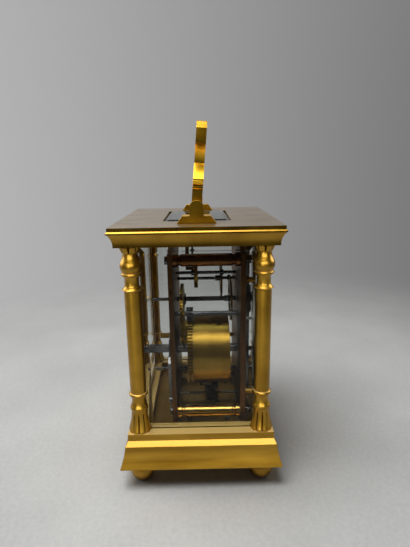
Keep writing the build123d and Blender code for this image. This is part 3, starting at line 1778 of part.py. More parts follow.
with BuildPart() as hairspring:
    with BuildSketch(
        Plane(origin=(0, balance_y, platform_z + hairspring_plane), x_dir=(0, -1, 0))
    ):
        spiral_strip(hairspring_inner, hairspring_pitch, hairspring_turns, hairspring_strip)
    extrude(amount=hairspring_height)
pieces["hairspring"] = hairspring
print(
    "hairspring least gap",
    round(
        least_spiral_gap(
            hairspring_inner, hairspring_pitch, hairspring_turns, hairspring_strip
        ),
        3,
    ),
)

with BuildPart() as balance_cock:
    cock_back_y = front_outer_y + end_shake
    with BuildSketch(Plane.XY.offset(cock_z)):
        with BuildLine():
            cock_half = cock_width / 2
            Line((cock_half, balance_y), (cock_half, cock_back_y))
            Line((cock_half, cock_back_y), (-cock_half, cock_back_y))
            Line((-cock_half, cock_back_y), (-cock_half, balance_y))
            ThreePointArc(
                (-cock_half, balance_y), (0, balance_y + cock_half), (cock_half, balance_y)
            )
        make_face()
    extrude(amount=cock_thickness)
    box_between(
        (-cock_half, cock_back_y, platform_z), (cock_half, cock_back_y + cock_foot, cock_z)
    )
    turned_along_z(
        0, balance_y,
        [(escape_pivot_radius + running, cock_z, cock_z + cock_thickness)],
        mode=Mode.SUBTRACT,
    )
    stud_y = balance_y - hairspring_inner - hairspring_turns * hairspring_pitch
    box_between(
        (fit, stud_y - hairspring_pitch, platform_z + hairspring_plane),
        (2 * hairspring_pitch, stud_y + hairspring_pitch / 2, cock_z),
    )
pieces["balance_cock"] = balance_cock


os.makedirs("parts", exist_ok=True)
for name, piece in pieces.items():
    piece.part.label = name
    export_step(piece.part, f"parts/{name}.step")
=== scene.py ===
"""Dresses the carriage clock: satin gilt case, bevelled glass, toned brass movement, enamel dials."""
import json
from math import cos, hypot, pi, radians, sin

import bmesh
import bpy
from mathutils import Matrix, Vector

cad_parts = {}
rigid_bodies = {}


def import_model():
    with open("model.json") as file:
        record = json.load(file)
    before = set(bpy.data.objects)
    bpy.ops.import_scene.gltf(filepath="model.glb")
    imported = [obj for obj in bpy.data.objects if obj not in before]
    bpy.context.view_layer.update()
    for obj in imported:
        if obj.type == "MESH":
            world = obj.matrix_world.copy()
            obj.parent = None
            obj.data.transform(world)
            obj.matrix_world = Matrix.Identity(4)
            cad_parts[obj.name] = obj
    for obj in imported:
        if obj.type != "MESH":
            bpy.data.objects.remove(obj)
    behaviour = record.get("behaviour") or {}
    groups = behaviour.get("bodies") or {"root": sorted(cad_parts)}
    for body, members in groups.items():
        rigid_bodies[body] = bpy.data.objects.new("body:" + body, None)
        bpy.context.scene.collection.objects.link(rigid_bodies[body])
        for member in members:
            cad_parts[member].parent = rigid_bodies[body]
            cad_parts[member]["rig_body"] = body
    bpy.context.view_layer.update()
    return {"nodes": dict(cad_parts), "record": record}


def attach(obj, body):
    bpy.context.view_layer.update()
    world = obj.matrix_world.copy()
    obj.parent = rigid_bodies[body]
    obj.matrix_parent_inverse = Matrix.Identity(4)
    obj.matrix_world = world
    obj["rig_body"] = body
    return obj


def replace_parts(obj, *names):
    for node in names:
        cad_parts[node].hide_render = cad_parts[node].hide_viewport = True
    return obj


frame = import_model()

MM = 0.001
nodes = frame["nodes"]
slot_of = {s["node"]: s["material_slot"] for s in frame["record"]["subparts"]}


def reach(node, axis, end):
    """How far a node reaches along an axis, in mm, at the end that min or max names."""
    return round(end(vertex.co[axis] for vertex in nodes[node].data.vertices) / MM, 2)


# Node building blocks, for materials and for Geometry Nodes

def wire(tree, value, socket):
    """Sets a socket to a plain value, or links it to another node's output."""
    if isinstance(value, bpy.types.NodeSocket):
        tree.links.new(value, socket)
    else:
        socket.default_value = value


def add_node(tree, kind, settings=None, **inputs):
    """A new node with its settings, and its inputs set or linked by name."""
    made = tree.nodes.new(kind)
    for name, value in (settings or {}).items():
        setattr(made, name, value)
    for name, value in inputs.items():
        wire(tree, value, made.inputs[name.replace("_", " ")])
    return made


def calc(tree, operation, *values):
    """One step of arithmetic on numbers or number outputs."""
    made = add_node(tree, "ShaderNodeMath", {"operation": operation})
    for value, socket in zip(values, made.inputs):
        wire(tree, value, socket)
    return made.outputs["Value"]


def eased(tree, value, start, end, low=0.0, high=1.0):
    """A smooth change from low to high as a value runs from start to end."""
    made = add_node(tree, "ShaderNodeMapRange", {"interpolation_type": "SMOOTHSTEP"})
    for name, number in (
        ("Value", value), ("From Min", start), ("From Max", end), ("To Min", low), ("To Max", high)
    ):
        wire(tree, number, made.inputs[name])
    return made.outputs["Result"]


def new_material(name):
    """An empty material with its Principled shader, and the object coordinates that patterns read."""
    material = bpy.data.materials.new(name)
    material.use_nodes = True
    tree = material.node_tree
    shader = tree.nodes["Principled BSDF"]
    place = add_node(tree, "ShaderNodeTexCoord").outputs["Object"]
    return material, tree, shader, place


def noise(tree, place, scale, detail=3.0, stretch=(1.0, 1.0, 1.0)):
    """Soft noise on object coordinates, drawn out along an axis by a stretch under 1."""
    mapped = add_node(tree, "ShaderNodeMapping", Vector=place, Scale=stretch)
    made = add_node(
        tree, "ShaderNodeTexNoise", Vector=mapped.outputs["Vector"], Scale=scale, Detail=detail
    )
    return made.outputs["Fac"]


def ramp(tree, factor, *stops):
    """A colour from a factor; each stop is a position with a grey value or a colour."""
    made = add_node(tree, "ShaderNodeValToRGB", Fac=factor)
    elements = made.color_ramp.elements
    while len(elements) < len(stops):
        elements.new(0.5)
    for element, (position, colour) in zip(elements, stops):
        element.position = position
        grey = isinstance(colour, float)
        element.color = (colour, colour, colour, 1.0) if grey else (*colour, 1.0)
    return made.outputs["Color"]


def mix(tree, factor, first, second):
    """Two colours mixed by a factor; the colour sockets go by place, as others share their names."""
    made = add_node(tree, "ShaderNodeMix", {"data_type": "RGBA"})
    wire(tree, factor, made.inputs[0])
    for value, socket in ((first, made.inputs[6]), (second, made.inputs[7])):
        wire(tree, (*value, 1.0) if isinstance(value, tuple) else value, socket)
    return made.outputs[2]


def blend(tree, first, second, share):
    """Two patterns added up, the first with the given share."""
    rest = calc(tree, "MULTIPLY", second, 1.0 - share)
    return calc(tree, "ADD", calc(tree, "MULTIPLY", first, share), rest)


def bump(tree, height, strength, distance):
    """A surface normal roughened by a pattern, with the pattern's depth in metres."""
    return add_node(
        tree, "ShaderNodeBump", Height=height, Strength=strength, Distance=distance
    ).outputs["Normal"]


def shade_in_hollows(tree, reach):
    """1 on open faces, falling to 0 in corners and grooves no deeper than the reach, for painted shade in
    hollows.
    """
    return add_node(tree, "ShaderNodeAmbientOcclusion", {"samples": 6}, Distance=reach).outputs["AO"]


# Finishes. The upward part of a face's direction tells ledges, which get a painted highlight, and flat
# tops from the sides.

LIT_LEDGE_FROM, LIT_LEDGE_FULL = 0.72, 0.97
TOP_FROM, TOP_FULL = 0.9, 0.985
# Colours of painted shade: in gilt hollows, in metal hollows, and on the upper pillars.
GILT_HOLLOW_SHADE = (0.055, 0.024, 0.003)
METAL_HOLLOW_SHADE = (0.02, 0.011, 0.005)
UPPER_SHADE_COLOUR = (0.16, 0.065, 0.02)


def gilt(
    name, low, high, roughness, grain_depth=0.02 * MM, lacquer=0.3, lit_ledge_colour=(0.52, 0.35, 0.11),
    lit_ledge_metal=0.35, toned=None, brushed=(1.0, 1.0, 1.0),
):
    """Lacquered gilding with cloudy colour, fine grain and painted shade in its hollows.

    Its ledges get a painted highlight, paler and less metallic, or, where two tones are given, its flat
    top is stained.
    """
    material, tree, shader, place = new_material(name)
    clouds = noise(tree, place, 70.0, 5.0, brushed)
    grain = noise(tree, place, 2600.0, 2.0)
    colour = ramp(tree, clouds, (0.34, low), (0.68, high))
    rough = ramp(
        tree, calc(tree, "ADD", clouds, calc(tree, "MULTIPLY", grain, 0.4)),
        (0.45, roughness[0]), (1.0, roughness[1]),
    )
    # Painted shade: the colour darkens in hollows and corners.
    painted_hollow_shade = ramp(tree, shade_in_hollows(tree, 2.2 * MM), (0.25, 0.95), (0.8, 0.0))
    colour = mix(tree, painted_hollow_shade, colour, GILT_HOLLOW_SHADE)
    normal = add_node(tree, "ShaderNodeNewGeometry").outputs["Normal"]
    upright = add_node(tree, "ShaderNodeSeparateXYZ", Vector=normal).outputs["Z"]
    shader.inputs["Coat Weight"].default_value = lacquer
    shader.inputs["Coat Roughness"].default_value = 0.22
    shader.inputs["Coat IOR"].default_value = 1.5
    if toned:
        rubbed = noise(tree, place, 150.0, 6.0, (1.0, 0.3, 1.0))
        top = eased(tree, upright, TOP_FROM, TOP_FULL)
        colour = mix(tree, top, colour, ramp(tree, rubbed, (0.3, toned[0]), (0.7, toned[1])))
        rough = mix(tree, top, rough, (0.45, 0.45, 0.45))
        wire(tree, eased(tree, upright, TOP_FROM, TOP_FULL, lacquer, 1.0), shader.inputs["Coat Weight"])
        shader.inputs["Metallic"].default_value = 1.0
    else:
        # Painted highlight: upward-facing ledges turn paler and less metallic, as if lit from above.
        lit_ledge = eased(tree, upright, LIT_LEDGE_FROM, LIT_LEDGE_FULL)
        colour = mix(tree, lit_ledge, colour, lit_ledge_colour)
        metal = eased(tree, upright, LIT_LEDGE_FROM, LIT_LEDGE_FULL, 1.0, lit_ledge_metal)
        wire(tree, metal, shader.inputs["Metallic"])
    wire(tree, colour, shader.inputs["Base Color"])
    wire(tree, rough, shader.inputs["Roughness"])
    wire(tree, bump(tree, grain, 0.25, grain_depth), shader.inputs["Normal"])
    return material


def grained_metal(name, low, high, roughness, grain, hollow_shade_strength=0.75, shade_from_height=None):
    """Rolled, drawn or turned metal with graining along one axis and painted shade in its hollows.

    Where a height in metres is given, painted shade darkens the metal from there up.
    """
    material, tree, shader, place = new_material(name)
    clouds = noise(tree, place, 55.0, 4.0)
    lines = noise(tree, place, 260.0, 3.0, grain)
    shade = blend(tree, clouds, lines, 0.65)
    colour = ramp(tree, shade, (0.34, low), (0.66, high))
    # Painted shade: darker brown from the given height up.
    if shade_from_height:
        height = add_node(tree, "ShaderNodeSeparateXYZ", Vector=place).outputs["Z"]
        upper_shade = eased(tree, height, shade_from_height, shade_from_height + 10 * MM)
        colour = mix(tree, upper_shade, colour, UPPER_SHADE_COLOUR)
    # Painted shade: the colour darkens in hollows and corners.
    painted_hollow_shade = ramp(tree, shade_in_hollows(tree, 1.5 * MM), (0.3, hollow_shade_strength), (0.8, 0.0))
    wire(tree, mix(tree, painted_hollow_shade, colour, METAL_HOLLOW_SHADE), shader.inputs["Base Color"])
    wire(tree, ramp(tree, shade, (0.3, roughness[0]), (0.7, roughness[1])), shader.inputs["Roughness"])
    wire(tree, bump(tree, lines, 0.2, 0.04 * MM), shader.inputs["Normal"])
    shader.inputs["Metallic"].default_value = 1.0
    return material


def pane(name, tint, bending):
    """Clear ground glass that lets lamps through, with faint smears in its polish."""
    material, tree, shader, place = new_material(name)
    smears = noise(tree, place, 45.0, 4.0, (1.0, 1.0, 0.4))
    wire(tree, ramp(tree, smears, (0.4, 0.0), (0.8, 0.045)), shader.inputs["Roughness"])
    shader.inputs["Base Color"].default_value = (*tint, 1.0)
    shader.inputs["Transmission Weight"].default_value = 1.0
    shader.inputs["IOR"].default_value = bending
    passing = add_node(tree, "ShaderNodeBsdfTransparent", Color=(0.8, 0.82, 0.81, 1.0))
    lamp_ray = add_node(tree, "ShaderNodeLightPath").outputs["Is Shadow Ray"]
    both = add_node(tree, "ShaderNodeMixShader", Fac=lamp_ray)
    tree.links.new(shader.outputs["BSDF"], both.inputs[1])
    tree.links.new(passing.outputs["BSDF"], both.inputs[2])
    tree.links.new(both.outputs["Shader"], tree.nodes["Material Output"].inputs["Surface"])
    return material


def enamel(name, low, high):
    """Fired enamel with a hard gloss and a faint unevenness."""
    material, tree, shader, place = new_material(name)
    clouds = noise(tree, place, 60.0, 3.0)
    wire(tree, ramp(tree, clouds, (0.3, low), (0.7, high)), shader.inputs["Base Color"])
    wire(tree, ramp(tree, clouds, (0.3, 0.1), (0.7, 0.2)), shader.inputs["Roughness"])
    wire(tree, bump(tree, noise(tree, place, 140.0), 0.06, 0.1 * MM), shader.inputs["Normal"])
    return material


def table_top(name):
    """A pale matt table, slightly mottled, that fades into the room far from the clock."""
    material, tree, shader, place = new_material(name)
    clouds = noise(tree, place, 14.0, 6.0)
    flecks = noise(tree, place, 420.0, 3.0)
    shade = blend(tree, clouds, flecks, 0.6)
    wire(
        tree, ramp(tree, shade, (0.3, (0.46, 0.465, 0.455)), (0.7, (0.60, 0.605, 0.59))),
        shader.inputs["Base Color"],
    )
    wire(tree, ramp(tree, flecks, (0.3, 0.45), (0.7, 0.6)), shader.inputs["Roughness"])
    away = add_node(tree, "ShaderNodeVectorMath", {"operation": "LENGTH"})
    wire(tree, place, away.inputs[0])
    gone = eased(tree, away.outputs["Value"], 0.15, 0.5)
    both = add_node(tree, "ShaderNodeMixShader", Fac=gone)
    tree.links.new(shader.outputs["BSDF"], both.inputs[1])
    tree.links.new(add_node(tree, "ShaderNodeBsdfTransparent").outputs["BSDF"], both.inputs[2])
    tree.links.new(both.outputs["Shader"], tree.nodes["Material Output"].inputs["Surface"])
    return material


# Graining along a rod that lies front to back, up a plate, and round a piece turned front to back
DRAWN, ROLLED, TURNED = (1, 0.1, 1), (1, 1, 0.08), (0.1, 1, 0.1)

gilt_case = gilt("gilt_case", (0.30, 0.155, 0.008), (0.45, 0.25, 0.022), (0.30, 0.44))
gilt_plinth = gilt(
    "gilt_plinth", (0.29, 0.145, 0.007), (0.46, 0.26, 0.024), (0.30, 0.44),
    brushed=(0.25, 0.25, 2.4),
)
gilt_cast = gilt(
    "gilt_cast", (0.33, 0.16, 0.009), (0.58, 0.32, 0.03), (0.34, 0.5), grain_depth=0.6 * MM
)
gilt_cornice = gilt(
    "gilt_cornice", (0.30, 0.155, 0.008), (0.45, 0.25, 0.022), (0.30, 0.44),
    toned=((0.26, 0.172, 0.075), (0.44, 0.315, 0.165)),
)
# The handle's gilt is brighter than the case's: partly its own yellower gilding, partly painted
# highlight.
gilt_handle = gilt(
    "gilt_handle", (0.50, 0.26, 0.008), (0.72, 0.42, 0.028), (0.26, 0.38), lacquer=0.1,
    lit_ledge_colour=(0.82, 0.46, 0.03), lit_ledge_metal=0.8,
)
toned_plate = grained_metal(
    "toned_plate", (0.085, 0.036, 0.011), (0.19, 0.09, 0.028), (0.4, 0.55), ROLLED
)
bright_brass = grained_metal(
    "bright_brass", (0.20, 0.11, 0.014), (0.34, 0.205, 0.034), (0.22, 0.38), TURNED, hollow_shade_strength=1.0
)
# The upper pillars, under the cornice, get painted shade.
pillar_gilt = grained_metal(
    "pillar_gilt", (0.46, 0.26, 0.05), (0.66, 0.42, 0.11), (0.14, 0.26), TURNED, shade_from_height=90 * MM
)
grey_steel = grained_metal(
    "grey_steel", (0.08, 0.08, 0.085), (0.22, 0.22, 0.225), (0.18, 0.34), DRAWN
)
blued_steel = grained_metal(
    "blued_steel", (0.02, 0.03, 0.09), (0.05, 0.07, 0.18), (0.16, 0.3), DRAWN
)
clear_glass = pane("clear_glass", (0.82, 0.835, 0.82), 1.22)
top_glass = pane("top_glass", (0.74, 0.90, 0.92), 1.35)
white_enamel = enamel("white_enamel", (0.78, 0.76, 0.70), (0.86, 0.84, 0.79))
black_enamel = enamel("black_enamel", (0.008, 0.008, 0.009), (0.02, 0.02, 0.022))

FINISH = {
    "gilt_brass": gilt_case,
    "plate_brass": toned_plate,
    "bright_brass": bright_brass,
    "steel": grey_steel,
    "blued_steel": blued_steel,
    "clear_glass": clear_glass,
    "white_enamel": white_enamel,
}


# Pieces. Edges that turn by more than a limit, in degrees, stay sharp in the shading.

MACHINED_LIMIT, LEAF_LIMIT, SCREW_LIMIT = 32.0, 34.0, 40.0


def finished(name, mesh, rides_with):
    """Puts a finished mesh on the body of a node."""
    piece = bpy.data.objects.new(name, mesh)
    bpy.context.scene.collection.objects.link(piece)
    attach(piece, nodes[rides_with]["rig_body"])
    return piece


def soften(mesh, angle):
    """Smooth shading that keeps edges sharper than an angle."""
    mesh.polygons.foreach_set("use_smooth", [True] * len(mesh.polygons))
    mesh.set_sharp_from_angle(angle=radians(angle))


def settled_mesh(name, mesh, *changes):
    """The plain mesh left when each change has put its modifier on a mesh."""
    holder = bpy.data.objects.new(name, mesh)
    bpy.context.scene.collection.objects.link(holder)
    for change in changes:
        change(holder)
    settled = holder.evaluated_get(bpy.context.evaluated_depsgraph_get())
    result = bpy.data.meshes.new_from_object(settled)
    result.name = name
    holder.modifiers.clear()
    bpy.data.objects.remove(holder)
    return result


def broken_edges(width, angle):
    """A change that breaks sharp edges with a small round and keeps the faces beside them flat."""
    def change(holder):
        breaking = holder.modifiers.new("broken_edges", "BEVEL")
        breaking.width = width * MM
        breaking.segments = 2
        breaking.limit_method = "ANGLE"
        breaking.angle_limit = radians(angle)
        breaking.use_clamp_overlap = True
        holder.modifiers.new("flat_faces", "WEIGHTED_NORMAL").weight = 100
    return change


def from_tree(tree, **sizes):
    """A change that runs a Geometry Nodes tree, with its inputs set by their names."""
    def change(holder):
        growing = holder.modifiers.new(tree.name, "NODES")
        growing.node_group = tree
        for socket in tree.interface.items_tree:
            key = socket.name.lower().replace(" ", "_")
            if socket.in_out == "INPUT" and key in sizes:
                growing[socket.identifier] = sizes[key]
    return change


def machined(node, material, edge=0.0, angle=MACHINED_LIMIT):
    """A worked copy of a node: joined faces, smooth rounds and, if asked, its edges broken."""
    work = bmesh.new()
    work.from_mesh(nodes[node].data)
    bmesh.ops.remove_doubles(work, verts=work.verts, dist=0.002 * MM)
    bmesh.ops.dissolve_limit(work, angle_limit=radians(0.6), verts=work.verts, edges=work.edges)
    mesh = bpy.data.meshes.new(node + "_finished")
    work.to_mesh(mesh)
    work.free()
    if "custom_normal" in mesh.attributes:
        mesh.attributes.remove(mesh.attributes["custom_normal"])
    soften(mesh, angle)
    if edge:
        mesh = settled_mesh(node + "_finished", mesh, broken_edges(edge, angle))
    mesh.materials.clear()
    mesh.materials.append(material)
    piece = finished(node + "_finished", mesh, node)
    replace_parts(piece, node)
    return piece


# Geometry Nodes: named inputs first, then the shape, then Realize Instances and Set Material

def new_tree(name, **inputs):
    """An empty tree with named inputs, and the sockets of its two ends."""
    tree = bpy.data.node_groups.new(name, "GeometryNodeTree")
    tree.interface.new_socket("Geometry", in_out="INPUT", socket_type="NodeSocketGeometry")
    for key, kind in inputs.items():
        label = key.replace("_", " ").capitalize()
        tree.interface.new_socket(label, in_out="INPUT", socket_type="NodeSocket" + kind)
    tree.interface.new_socket("Geometry", in_out="OUTPUT", socket_type="NodeSocketGeometry")
    given = tree.nodes.new("NodeGroupInput").outputs
    out = tree.nodes.new("NodeGroupOutput").inputs["Geometry"]
    return tree, given, out


def close_tree(tree, geometry, finish, out):
    """The last two nodes of every tree."""
    real = add_node(tree, "GeometryNodeRealizeInstances", Geometry=geometry).outputs["Geometry"]
    tree.links.new(
        add_node(tree, "GeometryNodeSetMaterial", Geometry=real, Material=finish).outputs["Geometry"], out
    )


def leaf_carving_tree():
    """Cuts grooves between upright leaves into a turned piece, wider at one end than at the other."""
    tree, given, out = new_tree(
        "leaf_carving", axis="Vector", leaves="Float", depth="Float", foot="Float", tip="Float",
        foot_gap="Float", tip_gap="Float", run_in="Float", run_out="Float", finish="Material",
    )
    place = add_node(tree, "GeometryNodeInputPosition").outputs["Position"]
    from_axis = add_node(tree, "ShaderNodeVectorMath", {"operation": "SUBTRACT"})
    wire(tree, place, from_axis.inputs[0])
    wire(tree, given["Axis"], from_axis.inputs[1])
    split = add_node(tree, "ShaderNodeSeparateXYZ", Vector=from_axis.outputs["Vector"]).outputs
    angle = calc(tree, "ARCTAN2", split["Y"], split["X"])
    half = calc(tree, "MULTIPLY", given["Leaves"], 0.5)
    from_gap = calc(tree, "ABSOLUTE", calc(tree, "SINE", calc(tree, "MULTIPLY", angle, half)))
    level = calc(
        tree, "DIVIDE",
        calc(tree, "SUBTRACT", split["Z"], given["Foot"]),
        calc(tree, "SUBTRACT", given["Tip"], given["Foot"]),
    )
    widening = calc(tree, "SUBTRACT", given["Tip gap"], given["Foot gap"])
    gap = calc(tree, "MULTIPLY_ADD", level, widening, given["Foot gap"])
    groove = eased(tree, from_gap, 0.0, gap, 1.0, 0.0)
    last = calc(tree, "SUBTRACT", 1.0, given["Run out"])
    ends = calc(
        tree, "MULTIPLY",
        eased(tree, level, 0.0, given["Run in"]), eased(tree, level, last, 1.0, 1.0, 0.0),
    )
    cut = calc(tree, "MULTIPLY", calc(tree, "MULTIPLY", groove, ends), given["Depth"])
    outward = add_node(tree, "ShaderNodeVectorMath", {"operation": "NORMALIZE"})
    wire(
        tree, add_node(tree, "ShaderNodeCombineXYZ", X=split["X"], Y=split["Y"]).outputs["Vector"],
        outward.inputs[0],
    )
    inward = add_node(tree, "ShaderNodeVectorMath", {"operation": "SCALE"})
    wire(tree, outward.outputs["Vector"], inward.inputs[0])
    wire(tree, calc(tree, "MULTIPLY", cut, -1.0), inward.inputs["Scale"])
    moved = add_node(
        tree, "GeometryNodeSetPosition", Geometry=given["Geometry"], Offset=inward.outputs["Vector"]
    ).outputs["Geometry"]
    close_tree(tree, moved, given["Finish"], out)
    return tree


def slotted_screw_tree():
    """Puts a slotted screw on every point, along the point's stored direction and turned at random."""
    tree, given, out = new_tree(
        "slotted_screw", head_radius="Float", head_height="Float", slot_width="Float",
        slot_depth="Float", shank_radius="Float", shank_length="Float", seed="Int", finish="Material",
    )
    head = add_node(tree, "GeometryNodeMeshCone")
    head.inputs["Vertices"].default_value = 40
    wire(tree, calc(tree, "MULTIPLY", given["Head radius"], 0.9), head.inputs["Radius Top"])
    wire(tree, given["Head radius"], head.inputs["Radius Bottom"])
    wire(tree, given["Head height"], head.inputs["Depth"])
    cutter = add_node(tree, "GeometryNodeMeshCube")
    length = calc(tree, "MULTIPLY", given["Head radius"], 3.0)
    depth = calc(tree, "MULTIPLY", given["Slot depth"], 2.0)
    size = add_node(tree, "ShaderNodeCombineXYZ", X=length, Y=given["Slot width"], Z=depth)
    wire(tree, size.outputs["Vector"], cutter.inputs["Size"])
    top = add_node(tree, "ShaderNodeCombineXYZ", Z=given["Head height"]).outputs["Vector"]
    raised = add_node(
        tree, "GeometryNodeTransform", Geometry=cutter.outputs["Mesh"], Translation=top
    ).outputs["Geometry"]
    slotted = add_node(tree, "GeometryNodeMeshBoolean", {"operation": "DIFFERENCE"})
    wire(tree, head.outputs["Mesh"], slotted.inputs["Mesh 1"])
    wire(tree, raised, slotted.inputs["Mesh 2"])
    shank = add_node(tree, "GeometryNodeMeshCylinder")
    shank.inputs["Vertices"].default_value = 24
    wire(tree, given["Shank radius"], shank.inputs["Radius"])
    wire(tree, given["Shank length"], shank.inputs["Depth"])
    sunk = calc(tree, "MULTIPLY", given["Shank length"], -0.5)
    below = add_node(
        tree, "GeometryNodeTransform", Geometry=shank.outputs["Mesh"],
        Translation=add_node(tree, "ShaderNodeCombineXYZ", Z=sunk).outputs["Vector"],
    ).outputs["Geometry"]
    whole = add_node(tree, "GeometryNodeJoinGeometry")
    tree.links.new(slotted.outputs["Mesh"], whole.inputs["Geometry"])
    tree.links.new(below, whole.inputs["Geometry"])
    heading = add_node(
        tree, "GeometryNodeInputNamedAttribute", {"data_type": "FLOAT_VECTOR"}, Name="heading"
    ).outputs["Attribute"]
    facing = add_node(tree, "FunctionNodeAlignRotationToVector", {"axis": "Z"}, Vector=heading)
    chance = add_node(tree, "FunctionNodeRandomValue", {"data_type": "FLOAT"}, Seed=given["Seed"])
    chance.inputs[3].default_value = pi  # the largest turn
    turn = add_node(tree, "FunctionNodeAxisAngleToRotation", Angle=chance.outputs[1])
    turned = add_node(
        tree, "FunctionNodeRotateRotation", {"rotation_space": "LOCAL"},
        Rotation=facing.outputs["Rotation"], Rotate_By=turn.outputs["Rotation"],
    )
    placed = add_node(
        tree, "GeometryNodeInstanceOnPoints", Points=given["Geometry"],
        Instance=whole.outputs["Geometry"], Rotation=turned.outputs["Rotation"],
    ).outputs["Instances"]
    close_tree(tree, placed, given["Finish"], out)
    return tree


def hour_track_tree():
    """A ring of strokes between two thin circles, every so many of them broader."""
    tree, given, out = new_tree(
        "hour_track", centre="Vector", strokes="Int", every="Int", inner="Float", outer="Float",
        line="Float", broad="Float", lift="Float", finish="Material",
    )
    middle = calc(tree, "MULTIPLY", calc(tree, "ADD", given["Inner"], given["Outer"]), 0.5)
    span = calc(tree, "SUBTRACT", given["Outer"], given["Inner"])
    circle = add_node(tree, "GeometryNodeMeshCircle", Vertices=given["Strokes"], Radius=middle)
    count = add_node(tree, "GeometryNodeInputIndex").outputs["Index"]
    step = calc(tree, "DIVIDE", 2 * pi, given["Strokes"])
    spin = add_node(tree, "ShaderNodeCombineXYZ", Z=calc(tree, "MULTIPLY", count, step)).outputs["Vector"]
    is_broad = calc(tree, "COMPARE", calc(tree, "MODULO", count, given["Every"]), 0.0, 0.5)
    extra = calc(tree, "SUBTRACT", given["Broad"], given["Line"])
    width = calc(tree, "MULTIPLY_ADD", is_broad, extra, given["Line"])
    size = add_node(tree, "ShaderNodeCombineXYZ", X=span, Y=width, Z=given["Lift"]).outputs["Vector"]
    unit = add_node(tree, "GeometryNodeMeshCube").outputs["Mesh"]
    strokes = add_node(
        tree, "GeometryNodeInstanceOnPoints", Points=circle.outputs["Mesh"], Instance=unit,
        Rotation=spin, Scale=size,
    ).outputs["Instances"]
    both = add_node(tree, "GeometryNodeJoinGeometry")
    tree.links.new(strokes, both.inputs["Geometry"])
    section = add_node(
        tree, "GeometryNodeCurvePrimitiveQuadrilateral", Width=given["Line"], Height=given["Lift"]
    ).outputs["Curve"]
    for radius in (given["Inner"], given["Outer"]):
        ring = add_node(tree, "GeometryNodeCurvePrimitiveCircle", Resolution=120, Radius=radius)
        tree.links.new(
            add_node(
                tree, "GeometryNodeCurveToMesh", Curve=ring.outputs["Curve"], Profile_Curve=section
            ).outputs["Mesh"],
            both.inputs["Geometry"],
        )
    stood = add_node(
        tree, "GeometryNodeTransform", Geometry=both.outputs["Geometry"],
        Translation=given["Centre"], Rotation=(pi / 2, 0.0, 0.0),
    ).outputs["Geometry"]
    close_tree(tree, stood, given["Finish"], out)
    return tree


# Turned and carved columns. Lengths are in mm from here to the last of the pieces.

AROUND = 128  # points round a column
FINE_ROW = 0.28  # between rows where leaves are cut
LEAST_ROW = 0.09  # a row closer than this to the last, in height and radius, is left out
BORE_LIMIT = 3.0  # a column's bores lie inside this radius


def turned_outline(node, axis, low, high):
    """Heights and radii in mm of a turned node's skin about an upright axis, from bottom to top."""
    skin = {}
    for vertex in nodes[node].data.vertices:
        radius = hypot(vertex.co.x - axis[0] * MM, vertex.co.y - axis[1] * MM) / MM
        level = round(vertex.co.z / MM, 2)
        if radius > BORE_LIMIT and low - 0.005 < level < high + 0.005:
            skin[level] = max(skin.get(level, 0.0), radius)
    rows = []
    for level, radius in sorted(skin.items()):
        if not rows or level - rows[-1][0] > LEAST_ROW or abs(radius - rows[-1][1]) > LEAST_ROW:
            rows.append((level, radius))
    return rows


def with_fine_rows(outline, zones):
    """Adds rows to an outline wherever a carved zone needs them."""
    rows = [outline[0]]
    for height, radius in outline[1:]:
        below, width = rows[-1]
        in_zone = any(low < (below + height) / 2 < high for low, high in zones)
        count = max(1, round((height - below) / FINE_ROW)) if in_zone else 1
        for k in range(1, count + 1):
            share = k / count
            rows.append((below + (height - below) * share, width + (radius - width) * share))
    return rows


def lathe(work, axis, rows):
    """Adds a closed turned body to a mesh in the making."""
    turns = [2 * pi * k / AROUND for k in range(AROUND)]
    rings = [
        [
            work.verts.new(
                ((axis[0] + radius * cos(a)) * MM, (axis[1] + radius * sin(a)) * MM, height * MM)
            )
            for a in turns
        ]
        for height, radius in rows
    ]
    for low, high in zip(rings, rings[1:]):
        for k in range(AROUND):
            nxt = (k + 1) % AROUND
            work.faces.new((low[k], low[nxt], high[nxt], high[k]))
    work.faces.new(rings[0][::-1])
    work.faces.new(rings[-1])


leaf_carving = leaf_carving_tree()
COLUMN_X, COLUMN_Y = 41.2, 32.2
COLUMN_AXES = {
    "column_front_left": (-COLUMN_X, -COLUMN_Y),
    "column_front_right": (COLUMN_X, -COLUMN_Y),
    "column_rear_left": (-COLUMN_X, COLUMN_Y),
    "column_rear_right": (COLUMN_X, COLUMN_Y),
}
COLUMN_FOOT, COLUMN_TOP = reach("base_plinth", 2, max), reach("cornice", 2, min)
BELL_HEIGHT, CROWN_HEIGHT = 11.4, 3.6
CROWN_ROWS = 3.8  # fine rows start just below the crown's leaves
PAST_END = 0.5  # how far the carving runs on past a column's end
BELL_LEAVES = dict(
    leaves=10.0, depth=0.75 * MM,
    foot=(COLUMN_FOOT - PAST_END) * MM, tip=(COLUMN_FOOT + BELL_HEIGHT) * MM,
    foot_gap=0.75, tip_gap=0.25, run_in=0.02, run_out=0.25,
)
CROWN_LEAVES = dict(
    leaves=8.0, depth=0.95 * MM,
    foot=(COLUMN_TOP - CROWN_HEIGHT) * MM, tip=(COLUMN_TOP + PAST_END) * MM,
    foot_gap=0.12, tip_gap=0.9, run_in=0.15, run_out=0.02,
)
CARVED_ZONES = (
    (COLUMN_FOOT, COLUMN_FOOT + BELL_HEIGHT), (COLUMN_TOP - CROWN_ROWS, COLUMN_TOP)
)

